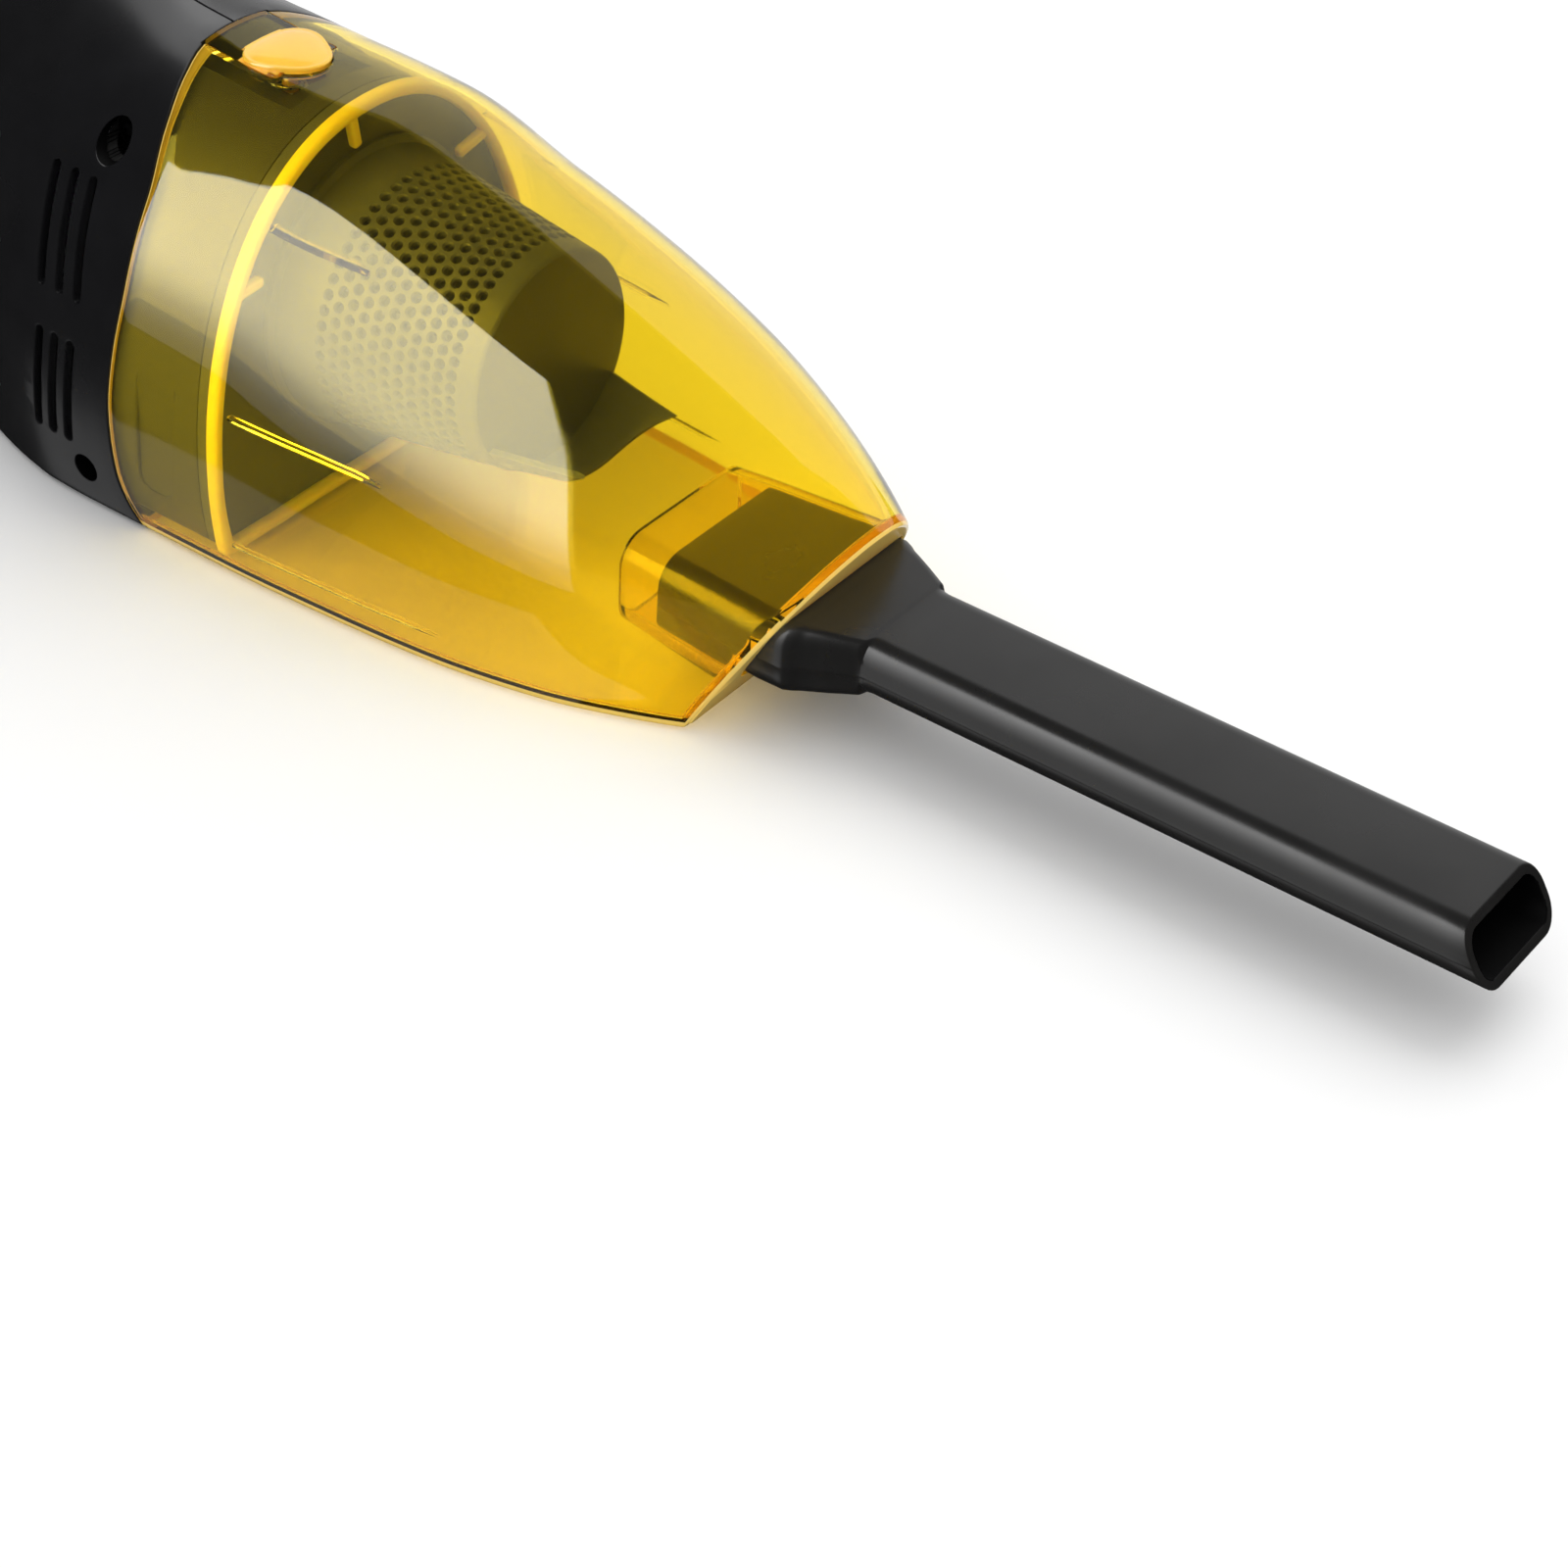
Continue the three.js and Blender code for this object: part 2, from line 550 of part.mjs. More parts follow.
// Flap that carries on the lower part of the cone, its front edge hollowed between two corners.
function deflectorLip() {
  const steps = 10;
  const rows = 4;
  const rings = [];
  for (let i = 0; i <= steps; i += 1) {
    const turn = i / steps;
    const angle = THREE.MathUtils.degToRad(-150 + 120 * turn);
    const swell = Math.abs(2 * turn - 1) ** 3;
    const reach = 12.4 + 9 * swell;
    const outside = [];
    const inside = [];
    for (let k = 0; k <= rows; k += 1) {
      const x = CAGE.front - 1.6 + ((reach + 1.6) * k) / rows;
      const radius = coneRadius(CAGE.front) - 0.15 - 0.19 * (x - CAGE.front + 1.6);
      const lean = angle + THREE.MathUtils.degToRad(7 * (0.5 - turn) * 2 * (k / rows));
      outside.push(new THREE.Vector3(x, radius * Math.cos(lean), AXIS_Z + radius * Math.sin(lean)));
      const r = radius - 1.5;
      inside.push(new THREE.Vector3(x, r * Math.cos(lean), AXIS_Z + r * Math.sin(lean)));
    }
    rings.push([...outside, ...inside.reverse()]);
  }
  return loft(rings);
}

function filterCage() {
  const { rear, front, rearRadius, frontRadius, wall } = CAGE;
  const shell = turned([
    [rear, rearRadius - wall], [rear, rearRadius + 1.2], [rear + 1.6, rearRadius + 1.2],
    [rear + 2.2, rearRadius - 0.3], [front, frontRadius], [front, 0.01],
    [front - 1.6, 0.01], [front - 1.6, frontRadius - wall],
  ], 28);
  let cage = shell.add(rodX(2, front - 1.6, front)).add(deflectorLip());
  for (let row = 0; row < 3; row += 1) {
    for (let i = 0; i < 5; i += 1) {
      const hole = new THREE.CylinderGeometry(2.8, 2.8, 90, 5).rotateX(Math.PI / 2);
      hole.rotateX(((i + (row % 2) / 2) * Math.PI) / 5);
      cage = cage.subtract(solid(hole.translate(54 + row * 11, 0, AXIS_Z)));
    }
  }
  return cage;
}
place('filter_cage', filterCage(), blackSatin);

// Pleated cup: folds run along the cone, the front end is closed.
function filterElement() {
  const folds = 18;
  const ring = (x, outer, depth) => {
    const points = [];
    for (let i = 0; i < folds * 2; i += 1) {
      const angle = (Math.PI * i) / folds;
      const r = outer - (i % 2) * depth;
      points.push(new THREE.Vector3(x, r * Math.cos(angle), AXIS_Z + r * Math.sin(angle)));
    }
    return points;
  };
  const body = loft([ring(39, 28.8, 3.4), ring(85.5, 22.4, 3)]);
  const hollow = turned([[38, 0.01], [38, 23.6], [83, 17.6], [83, 0.01]], 20);
  return body.subtract(hollow);
}
place('filter_element', filterElement(), filterPaper);

// Soft ring on the rim of the flange, with four short moulding tabs towards the middle.
const SEAL = { rear: 36.6, front: 39.9, outerInset: 2.3, innerInset: 4.9 };

function sealRing() {
  const { rear, front, outerInset, innerInset } = SEAL;
  let ring = form([rear, front], outerInset).subtract(form([rear - 1, front + 1], innerInset));
  // Each tab runs from its free end to the ring, given as [y, z].
  const tabs = [
    [[-4.5, 82.6], [-6.5, 93]], [[28, 67.6], [41, 70.8]], [[-34.2, 63.8], [-51, 62.5]],
    [[5.5, 9], [8, 2]],
  ];
  const band = form([rear, front], outerInset + 0.8);
  for (const [inner, outer] of tabs) {
    const long = Math.hypot(outer[0] - inner[0], outer[1] - inner[1]);
    const bar = new THREE.BoxGeometry(2.4, long, 2.4);
    bar.rotateX(Math.atan2(outer[1] - inner[1], outer[0] - inner[0]));
    bar.translate((rear + front) / 2, (inner[0] + outer[0]) / 2, (inner[1] + outer[1]) / 2);
    ring = ring.add(solid(bar).intersect(band));
  }
  return ring;
}
place('seal_ring', sealRing(), yellowSeal);

// ---- fan and motor -----------------------------------------------------------------------------
const FUNNEL = { mouth: 27.2, mouthX: 27.4, eye: 16.5, eyeX: -10, flange: 40 };

const funnel = turned([
  [FUNNEL.mouthX, FUNNEL.mouth - 1.5], [FUNNEL.mouthX, FUNNEL.mouth], [-8, FUNNEL.eye + 3],
  [-10, FUNNEL.eye + 7], [-10.4, FUNNEL.flange], [-12, FUNNEL.flange], [-12, FUNNEL.eye],
  [-8, FUNNEL.eye],
], 28);
place('fan_shroud', funnel, blackSatin);

function fanGuard() {
  let guard = turned([[22, 21.5], [22, 23.2], [23.6, 23.2], [23.6, 21.5]], 24);
  guard = guard.add(turned([[22, 8], [22, 9.4], [23.6, 9.4], [23.6, 8]], 16));
  for (let i = 0; i < 3; i += 1) {
    const bar = new THREE.BoxGeometry(1.6, 44.5, 1.6);
    bar.rotateX((i * Math.PI) / 3);
    guard = guard.add(solid(bar.translate(22.8, 0, AXIS_Z)));
  }
  return guard;
}
place('fan_guard', fanGuard(), blackSatin);

function impeller() {
  const plate = turned([[-26, 2], [-26, 36.5], [-24.6, 36.5], [-24.6, 7.5], [-15, 6.5], [-15, 2]], 32);
  let wheel = plate;
  const blades = 8;
  for (let i = 0; i < blades; i += 1) {
    const arc = new THREE.Shape();
    arc.absarc(20, 0, 15.5, Math.PI * 0.98, Math.PI * 0.42, true);
    arc.absarc(20, 0, 14.3, Math.PI * 0.42, Math.PI * 0.98, false);
    arc.closePath();
    const blade = new THREE.ExtrudeGeometry(arc, { depth: 10.6, bevelEnabled: false, curveSegments: 3 });
    blade.rotateY(Math.PI / 2).rotateX((2 * Math.PI * i) / blades);
    wheel = wheel.add(solid(blade.translate(-25, 0, AXIS_Z)));
  }
  return wheel.subtract(rodX(1.9, -30, -10, 0, AXIS_Z, 12));
}
place('fan_impeller', impeller(), fanPlastic);

const CAN = { front: -31, rear: -80, radius: 18.2, wall: 1.3 };
place('motor_shaft', rodX(1.6, -88, -13.5, 0, AXIS_Z, 12), steel);

const can = turned([
  [CAN.rear, CAN.radius - CAN.wall], [CAN.rear, CAN.radius], [CAN.front - 1, CAN.radius],
  [CAN.front, CAN.radius - 1.2], [CAN.front, 6.4], [CAN.front + 3.4, 6.4], [CAN.front + 3.4, 1.95],
  [CAN.front - CAN.wall, 1.95], [CAN.front - CAN.wall, CAN.radius - CAN.wall],
], 32);
place('motor_can', can, steel);

const armature = turned([[-72, 1.95], [-72, 10.6], [-40, 10.6], [-40, 1.95]], 24);
place('motor_armature', armature, copper);

const magnetRing = turned([[-73, 12.6], [-73, 16.5], [-38, 16.5], [-38, 12.6]], 24);
place('motor_magnet_left', magnetRing.intersect(box(-90, -30, 3, 30, 20, 80)), magnetDark);
place('motor_magnet_right', magnetRing.intersect(box(-90, -30, -30, -3, 20, 80)), magnetDark);

function motorEndCap() {
  let cap = turned([
    [-80.3, 1.95], [-80.3, 17.6], [-84.5, 17.2], [-85, 8], [-87, 6.5], [-87, 1.95],
  ], 28);
  for (const y of [-9, 9]) {
    cap = cap.add(box(-89.5, -83, y - 2.2, y + 2.2, AXIS_Z - 0.5, AXIS_Z + 0.5));
  }
  return cap;
}
place('motor_end_cap', motorEndCap(), finish(0xf2f0e8, 0.5));

function motorBracket() {
  let plate = form([-30.4, -28.4], BODY_WALL + 0.5).subtract(rodX(7, -40, -20, 0, AXIS_Z, 20));
  for (let i = 0; i < 6; i += 1) {
    const angle = ((i + 0.5) * Math.PI) / 3;
    const y = 29 * Math.cos(angle);
    plate = plate.subtract(rodX(6.5, -40, -20, y, AXIS_Z + 29 * Math.sin(angle), 12));
  }
  return plate;
}
place('motor_bracket', motorBracket(), blackSatin);

const damper = turned([[-75, 18.5], [-75, 20.8], [-67, 20.8], [-67, 18.5]], 28);
place('motor_damper', damper, rubber);

// ---- power switch --------------------------------------------------------------------------------
const bezelPlate = box(-13.6, 13.6, -5.2, 5.2, -2.1, -0.4);
place('switch_bezel', switchFrame(bezelPlate.subtract(box(-8.4, 8.4, -2.6, 2.6, -5, 5))), blackSatin);

function switchSlider() {
  let slider = box(-9, 3, -4.4, 4.4, -0.1, 2.6).add(box(-5, -1, -2.2, 2.2, -3.2, 0.5));
  for (let i = 0; i < 4; i += 1) {
    slider = slider.subtract(box(-7.6 + i * 2.8, -6.6 + i * 2.8, -6, 6, 1.9, 4));
  }
  return switchFrame(slider);
}
place('switch_slider', switchSlider(), amberOpaque);
place('switch_body', switchFrame(box(-8.6, 8.6, -3.6, 3.6, -10.5, -3.6)), blackSatin);

// ---- cable gland and inner leads -------------------------------------------------------------------
const gland = rodX(5.9, GLAND_X, -145, 0, GLAND_Z, 20).add(rodX(8, -145.2, -143, 0, GLAND_Z, 20))
  .subtract(rodX(3, -170, -130, 0, GLAND_Z, 16));
place('cable_gland', gland, rubber);

place('lead_inlet_to_switch', wire([
  [-142, 1.3, 25], [-139.6, 1, 36], [-140.5, 0, 60], [-141.4, 0, 84], [-140.5, 0, 97], [-134, 0, 104],
  [-116, 0, 107], [-92, 0, 107.2], [-77, 0, 108.4], [-69, 0, 112],
], 1.1, 30), leadRed);
place('lead_inlet_to_motor', wire([
  [-142, -1.4, 25.5], [-130, -3, 30], [-112, -6, 38], [-98, -9, 46], [-90.3, -9, 48],
], 1.1, 16), leadBlack);
place('lead_switch_to_motor', wire([
  [-54.6, 0, 102.2], [-50, 5, 93], [-43, 16, 81], [-48, 24, 66], [-66, 24.5, 58], [-84, 19.5, 52],
  [-93, 13.5, 49.4], [-91.2, 9, 48],
], 1.1, 28), leadBlack);

// Origin under the middle of the object, on the flat underside.
design.position.x = -(GLAND_X + TIP_TOP_X + (13.3 - 26.3) * TIP_SLANT) / 2;

export default vacuum;
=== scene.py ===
import math

import bmesh
import bpy
from mathutils import Matrix, Vector


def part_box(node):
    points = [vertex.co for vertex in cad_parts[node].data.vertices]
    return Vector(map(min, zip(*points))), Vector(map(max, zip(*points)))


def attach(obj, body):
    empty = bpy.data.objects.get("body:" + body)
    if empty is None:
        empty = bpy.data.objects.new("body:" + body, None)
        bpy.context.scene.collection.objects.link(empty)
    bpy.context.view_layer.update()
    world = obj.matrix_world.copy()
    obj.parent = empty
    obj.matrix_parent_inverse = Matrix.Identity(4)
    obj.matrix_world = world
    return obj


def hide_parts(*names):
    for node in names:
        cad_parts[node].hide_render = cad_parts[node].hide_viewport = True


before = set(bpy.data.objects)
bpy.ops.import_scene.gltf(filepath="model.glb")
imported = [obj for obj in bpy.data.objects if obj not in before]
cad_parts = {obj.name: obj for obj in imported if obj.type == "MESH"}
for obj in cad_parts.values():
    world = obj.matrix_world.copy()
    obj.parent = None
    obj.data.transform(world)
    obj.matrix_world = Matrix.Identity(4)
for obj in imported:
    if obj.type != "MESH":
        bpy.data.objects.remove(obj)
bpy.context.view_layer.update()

# Shapes are written in millimetres in the design frame of the CAD: x = 0 at the top of the
# joint line between body and cup. DESIGN_X moves them to the row frame.
MM = 0.001
TOOL_REAR_X = 134.0
DESIGN_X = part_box("crevice_tool")[0].x / MM - TOOL_REAR_X
TO_ROW = Matrix.Scale(MM, 4) @ Matrix.Translation((DESIGN_X, 0.0, 0.0))

AXIS_Z = 48.0  # motor, fan and filter
MOUTH_Z = 18.0
GAP = 0.3  # between neighbours
BODY_WALL = 2.4
CUP_WALL = 2.0
COLLAR_INSET = 3.3
COLLAR_WALL = 2.2
REAR_X = -154.5
TIP_TOP_X = 316.0
TIP_SLANT = -0.64
FACE_X = 150.2
FACE_SLANT = 0.56
FACE_WALL = 2.8
LOWER_TUCK = 1.6
BASE_CORNER = 2.4
GLAND_X = -160.0
GLAND_Z = 25.0


# ---- curves of the outer form ----------------------------------------------------------
def monotone(stations):
    """Monotone cubic curve through [x, value] stations."""
    xs = [s[0] for s in stations]
    ys = [s[1] for s in stations]
    slope = [(ys[i + 1] - ys[i]) / (xs[i + 1] - xs[i]) for i in range(len(xs) - 1)]
    tangent = [slope[0]]
    for a, b in zip(slope, slope[1:]):
        tangent.append(0.0 if a * b <= 0 else 2 * a * b / (a + b))
    tangent.append(slope[-1])

    def curve(x):
        if x <= xs[0]:
            return ys[0]
        if x >= xs[-1]:
            return ys[-1]
        i = 0
        while x > xs[i + 1]:
            i += 1
        span = xs[i + 1] - xs[i]
        t = (x - xs[i]) / span
        t2, t3 = t * t, t * t * t
        return (ys[i] * (2 * t3 - 3 * t2 + 1) + tangent[i] * span * (t3 - 2 * t2 + t)
                + ys[i + 1] * (3 * t2 - 2 * t3) + tangent[i + 1] * span * (t3 - t2))

    return curve


half_width = monotone([
    (-154.5, 7), (-150, 12.5), (-142, 16), (-120, 19.5), (-95, 23.5), (-75, 30),
    (-55, 39.5), (-38, 47), (-23, 51.6), (-12, 53.6), (0, 54), (41, 54), (70, 52.9),
    (95, 50.9), (120, 46.2), (140, 39.1), (160, 29.1), (185, 14)])
ridge = monotone([
    (-154.5, 84), (-152, 95), (-146, 107), (-134, 117), (-112, 123.5), (-85, 123.8),
    (-60, 118), (-36, 107), (-20, 100.5), (-11, 98.2), (0, 97), (8, 96.1), (16, 95.3),
    (28, 94.9), (41, 94.3), (70, 86.9), (95, 78.6), (120, 69.2), (140, 60.8),
    (160, 50.5), (185, 30)])
floor_line = monotone([
    (-154.5, 44), (-152, 26), (-146, 12), (-134, 3.5), (-118, 0), (185, 0)])
arch_base = monotone([(-154.5, 60), (-146, 30), (-130, 22), (60, 22), (110, 19), (185, 11)])
arch_power = monotone([(-20, 2), (0, 2.1), (20, 2.2), (41, 2.16), (70, 2), (185, 2)])
rim_line = monotone([
    (-6, 18), (1.4, 15), (6.6, 12), (14, 10), (29, 9.2), (43, 10.3), (58, 11.6), (75, 11),
    (87, 6.7), (93, 2.9), (97, 0), (110, -1)])


# ---- perimeter of the outer form: keys name the same place on every section --------------
def perimeter_keys(arch=72):
    side, corner, floor = 7, 5, 12
    keys = [("arch", math.pi * i / arch) for i in range(arch + 1)]
    right = [("side", (i + 1) / (side + 1), -1) for i in range(side)]
    right += [("corner", i / (corner - 1), -1) for i in range(corner)]
    middle = [("floor", (i + 1) / (floor + 1), 0) for i in range(floor)]
    left = [(kind, value, 1) for kind, value, _ in reversed(right)]
    return keys + right + middle + left


def form_point(key, x, inset):
    """(y, z) of a perimeter key on the section at x, moved inwards by inset."""
    w = half_width(x) - inset
    top = ridge(x) - inset
    bottom = floor_line(x) + inset
    base = max(arch_base(x), bottom + 2 * BASE_CORNER)
    tuck = min(LOWER_TUCK, w * 0.2)
    if key[0] == "arch":
        power = arch_power(x)
        c, s = math.cos(key[1]), max(math.sin(key[1]), 0.0)
        return (w * math.copysign(abs(c) ** (2 / power), c),
                base + (top - base) * s ** (2 / power))
    foot = w - tuck
    if key[0] == "side":
        z = base + (bottom + BASE_CORNER - base) * key[1]
        return key[2] * (w - tuck * key[1] ** 2), z
    if key[0] == "corner":
        angle = math.pi / 2 * key[1]
        y = foot - BASE_CORNER + BASE_CORNER * math.cos(angle)
        return key[2] * y, bottom + BASE_CORNER - BASE_CORNER * math.sin(angle)
    return (foot - BASE_CORNER) * (2 * key[1] - 1), bottom


def section(keys, xs, inset):
    """Ring through the perimeter keys, each at its own x."""
    return [(x, *form_point(key, x, inset)) for key, x in zip(keys, xs)]


def closing(ring, factors, centre, x_at):
    """Rings that close an end: the ring drawn in towards a height, x given over z."""
    rings = []
    for factor in factors:
        drawn = [(y * factor, centre + (z - centre) * factor) for _, y, z in ring]
        rings.append([(x_at(z), y, z) for y, z in drawn])
    return rings


def solve_x(key, inset, line, start):
    """x where the perimeter key crosses a line given as x over z."""
    x = start
    for _ in range(24):
        x += (line(form_point(key, x, inset)[1]) - x) * 0.7
    return x


def side_depth(x, z, inset=0.0):
    """Half width of the form at a height."""
    w, top = half_width(x) - inset, ridge(x) - inset
    base = max(arch_base(x), floor_line(x) + inset + 2 * BASE_CORNER)
    if z <= base:
        lower = min(max((base - z) / (base - floor_line(x)), 0.0), 1.0)
        return w - min(LOWER_TUCK, w * 0.2) * lower ** 2
    rise = min((z - base) / max(top - base, 0.1), 1.0)
    power = arch_power(x)
    return w * max(1 - rise ** power, 0.0) ** (1 / power)


# ---- mesh helpers ----------------------------------------------------------------------
def new_object(name, data):
    obj = bpy.data.objects.new(name, data)
    bpy.context.scene.collection.objects.link(obj)
    return obj


def object_from(name, points, faces):
    mesh = bpy.data.meshes.new(name)
    mesh.from_pydata(points, [], faces)
    bm = bmesh.new()
    bm.from_mesh(mesh)
    bmesh.ops.remove_doubles(bm, verts=bm.verts, dist=1e-4)
    bmesh.ops.recalc_face_normals(bm, faces=bm.faces)
    bm.to_mesh(mesh)
    bm.free()
    return new_object(name, mesh)


def loft(name, rings, looped=False):
    """Closed body through rings of equal length; its ends are fans unless it is looped."""
    count = len(rings[0])
    points = [p for ring in rings for p in ring]
    faces = []
    last = len(rings) if looped else len(rings) - 1
    for r in range(last):
        for i in range(count):
            j = (i + 1) % count
            a, b = r * count, ((r + 1) % len(rings)) * count
            faces.append((a + i, a + j, b + j, b + i))
    if not looped:
        for r in (0, len(rings) - 1):
            hub = [sum(p[k] for p in rings[r]) / count for k in range(3)]
            points.append(tuple(hub))
            for i in range(count):
                faces.append((r * count + i, r * count + (i + 1) % count, len(points) - 1))
    return object_from(name, points, faces)


def join(name, objects):
    """One object from several that don't touch each other."""
    bm = bmesh.new()
    for obj in objects:
        bm.from_mesh(obj.data)
        bpy.data.objects.remove(obj)
    mesh = bpy.data.meshes.new(name)
    bm.to_mesh(mesh)
    bm.free()
    return new_object(name, mesh)


def settle(obj):
    """Applies the modifiers."""
    graph = bpy.context.evaluated_depsgraph_get()
    mesh = bpy.data.meshes.new_from_object(obj.evaluated_get(graph))
    old = obj.data
    obj.modifiers.clear()
    obj.data = mesh
    bpy.data.meshes.remove(old)


def boolean(target, operation, *cutters, keep=False):
    for cutter in cutters:
        modifier = target.modifiers.new("cut", "BOOLEAN")
        modifier.operation = operation
        modifier.solver = "MANIFOLD"
        modifier.object = cutter
    settle(target)
    if not keep:
        for cutter in cutters:
            bpy.data.objects.remove(cutter)
    return target


def cut(target, *cutters):
    return boolean(target, "DIFFERENCE", *cutters)


def finish_piece(obj, material, body, nodes, sharp=32.0, second=None, pick=None):
    """Moves a design-frame piece to the row frame, sets its shading and places it.
    pick(centre, normal) says, in the design frame, which faces take the second material."""
    obj.data.transform(TO_ROW)
    bm = bmesh.new()
    bm.from_mesh(obj.data)
    bmesh.ops.remove_doubles(bm, verts=bm.verts, dist=2e-6)
    bmesh.ops.dissolve_degenerate(bm, edges=bm.edges, dist=2e-6)
    limit = math.radians(sharp)
    for face in bm.faces:
        face.smooth = True
    for edge in bm.edges:
        edge.smooth = len(edge.link_faces) == 2 and edge.calc_face_angle(0.0) < limit
    bm.to_mesh(obj.data)
    bm.free()
    obj.data.materials.clear()
    obj.data.materials.append(material)
    if second is not None:
        obj.data.materials.append(second)
        back = TO_ROW.inverted()
        for face in obj.data.polygons:
            face.material_index = int(pick(back @ face.center, face.normal))
    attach(obj, body)
    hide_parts(*nodes)
    return obj


def box(name, x0, x1, y0, y1, z0, z1):
    rings = [[(x, y0, z0), (x, y1, z0), (x, y1, z1), (x, y0, z1)] for x in (x0, x1)]
    return loft(name, rings)


def circle(radius, sides, phase=0.0):
    step = 2 * math.pi / sides
    return [(radius * math.cos(i * step + phase), radius * math.sin(i * step + phase))
            for i in range(sides)]


def rod_x(name, radius, x0, x1, z=AXIS_Z, sides=48):
    return loft(name, [[(x, a, z + b) for a, b in circle(radius, sides)] for x in (x0, x1)])


def rod_y(name, radius, y0, y1, x, z, sides=32):
    return loft(name, [[(x + a, y, z + b) for a, b in circle(radius, sides)]
                       for y in (y0, y1)])


def turned(name, profile, sides=96, z=AXIS_Z):
    """Ring about an axis along X; the profile is a closed list of (x, radius)."""
    rings = [[(x, r * a, z + r * b) for a, b in circle(1.0, sides)] for x, r in profile]
    return loft(name, rings, looped=True)


def rounded(corners, radius, steps=6):
    """Outline through the corners, each rounded by a quadratic curve."""
    points = []
    count = len(corners)
    for i, corner in enumerate(corners):
        ends = []
        for other in (corners[i - 1], corners[(i + 1) % count]):
            span = math.dist(corner, other)
            t = min(radius / span, 0.45)
            ends.append([corner[k] + (other[k] - corner[k]) * t for k in (0, 1)])
        for s in range(steps + 1):
            t = s / steps
            points.append(tuple(
                ends[0][k] * (1 - t) ** 2 + 2 * corner[k] * t * (1 - t) + ends[1][k] * t * t
                for k in (0, 1)))
    return points


def refine_outline(points, length):
    """Adds points so that no side of the closed outline is longer than length."""
    out = []
    for i, a in enumerate(points):
        b = points[(i + 1) % len(points)]
        parts = max(1, math.ceil(math.dist(a, b) / length))
        out += [(a[0] + (b[0] - a[0]) * k / parts, a[1] + (b[1] - a[1]) * k / parts)
                for k in range(parts)]
    return out


def outline_normals(points):
    """Outward unit normals of a closed outline."""
    area = sum(a[0] * b[1] - b[0] * a[1] for a, b in zip(points, points[1:] + points[:1]))
    turn = 1 if area > 0 else -1
    normals = []
    for i in range(len(points)):
        a, b = points[i - 1], points[(i + 1) % len(points)]
        dx, dz = b[0] - a[0], b[1] - a[1]
        size = math.hypot(dx, dz) or 1.0
        normals.append((turn * dz / size, -turn * dx / size))
    return normals


def flared(name, outline, radius, sides=(-1, 1), inner=0.0, surface=side_depth, steps=5):
    """Cutter along Y whose edge opens out with a radius where it meets the outer form."""
    normals = outline_normals(outline)

    def ring(sign, drop, offset):
        points = []
        for (x, z), (nx, nz) in zip(outline, normals):
            px, pz = x + nx * offset, z + nz * offset
            points.append((px, sign * (surface(px, pz) - drop), pz))
        return points

    def half(sign):
        rings = []
        for k in range(steps + 1):
            angle = math.pi / 2 * k / steps
            rings.append(ring(sign, radius * (1 - math.sin(angle)),
                              radius * (1 - math.cos(angle))))
        rings.append(ring(sign, -4.0, radius))
        return rings

    if len(sides) == 2:
        rings = list(reversed(half(-1))) + half(1)
    else:
        rings = [[(x, sides[0] * inner, z) for x, z in outline]] + half(sides[0])
    return loft(name, rings)


def form(name, x0, x1, inset, step):
    """Stretch of the outer form, moved inwards by inset."""
    keys = perimeter_keys()
    count = max(1, math.ceil((x1 - x0) / step))
    xs = [x0 + (x1 - x0) * i / count for i in range(count + 1)]
    return loft(name, [[(x, *form_point(key, x, inset)) for key in keys] for x in xs])


def slot_section(half, z0, z1, radius, seam=0.0):
    """(y, z) of a rounded rectangle across X. seam raises a fine side line."""
    steps = 10
    points = []
    quarters = [(half - radius, z1 - radius, 0), (radius - half, z1 - radius, 1),
                (radius - half, z0 + radius, 2), (half - radius, z0 + radius, 3)]
    line = (z0 + z1) / 2 - 0.6
    for y, z, quarter in quarters:
        for i in range(steps + 1):
            angle = math.pi / 2 * (quarter + i / steps)
            points.append((y + radius * math.cos(angle), z + radius * math.sin(angle)))
        sign = {1: -1, 3: 1}.get(quarter)
        if sign:
            for row in (0.22, 0.1, -0.1, -0.22):
                rise = seam if abs(row) < 0.2 else 0.0
                points.append((sign * (half + rise), line - sign * row))
    return points


# ---- materials -------------------------------------------------------------------------
def new_material(name, color, roughness, metallic=0.0, **settings):
    material = bpy.data.materials.new(name)
    material.use_nodes = True
    shader = shader_of(material)
    shader.inputs["Base Color"].default_value = (*color, 1)
    shader.inputs["Roughness"].default_value = roughness
    shader.inputs["Metallic"].default_value = metallic
    for key, value in settings.items():
        shader.inputs[key.replace("_", " ")].default_value = value
    return material


def node(owner, kind, **values):
    """New node of a material, lamp or world; values name its settings or its inputs."""
    made = owner.node_tree.nodes.new(kind)
    for key, value in values.items():
        if hasattr(made, key):
            setattr(made, key, value)
        else:
            made.inputs[key.replace("_", " ")].default_value = value
    return made


def link(owner, source, socket, target, name):
    owner.node_tree.links.new(source.outputs[socket], target.inputs[name])


def noise(material, scale, detail=3.0, stretch=None):
    """Noise in object space, so that it stays with the piece."""
    place = node(material, "ShaderNodeTexCoord")
    texture = node(material, "ShaderNodeTexNoise", Scale=scale, Detail=detail)
    if stretch is None:
        link(material, place, "Object", texture, "Vector")
        return texture
    mapping = node(material, "ShaderNodeMapping", Scale=stretch)
    link(material, place, "Object", mapping, "Vector")
    link(material, mapping, "Vector", texture, "Vector")
    return texture


def remap(material, texture, low, high):
    """The middle of a noise texture's range, spread from low to high."""
    span = node(material, "ShaderNodeMapRange", From_Min=0.3, From_Max=0.7, To_Min=low,
                To_Max=high)
    link(material, texture, "Fac", span, "Value")
    return span


def shader_of(material):
    return material.node_tree.nodes["Principled BSDF"]


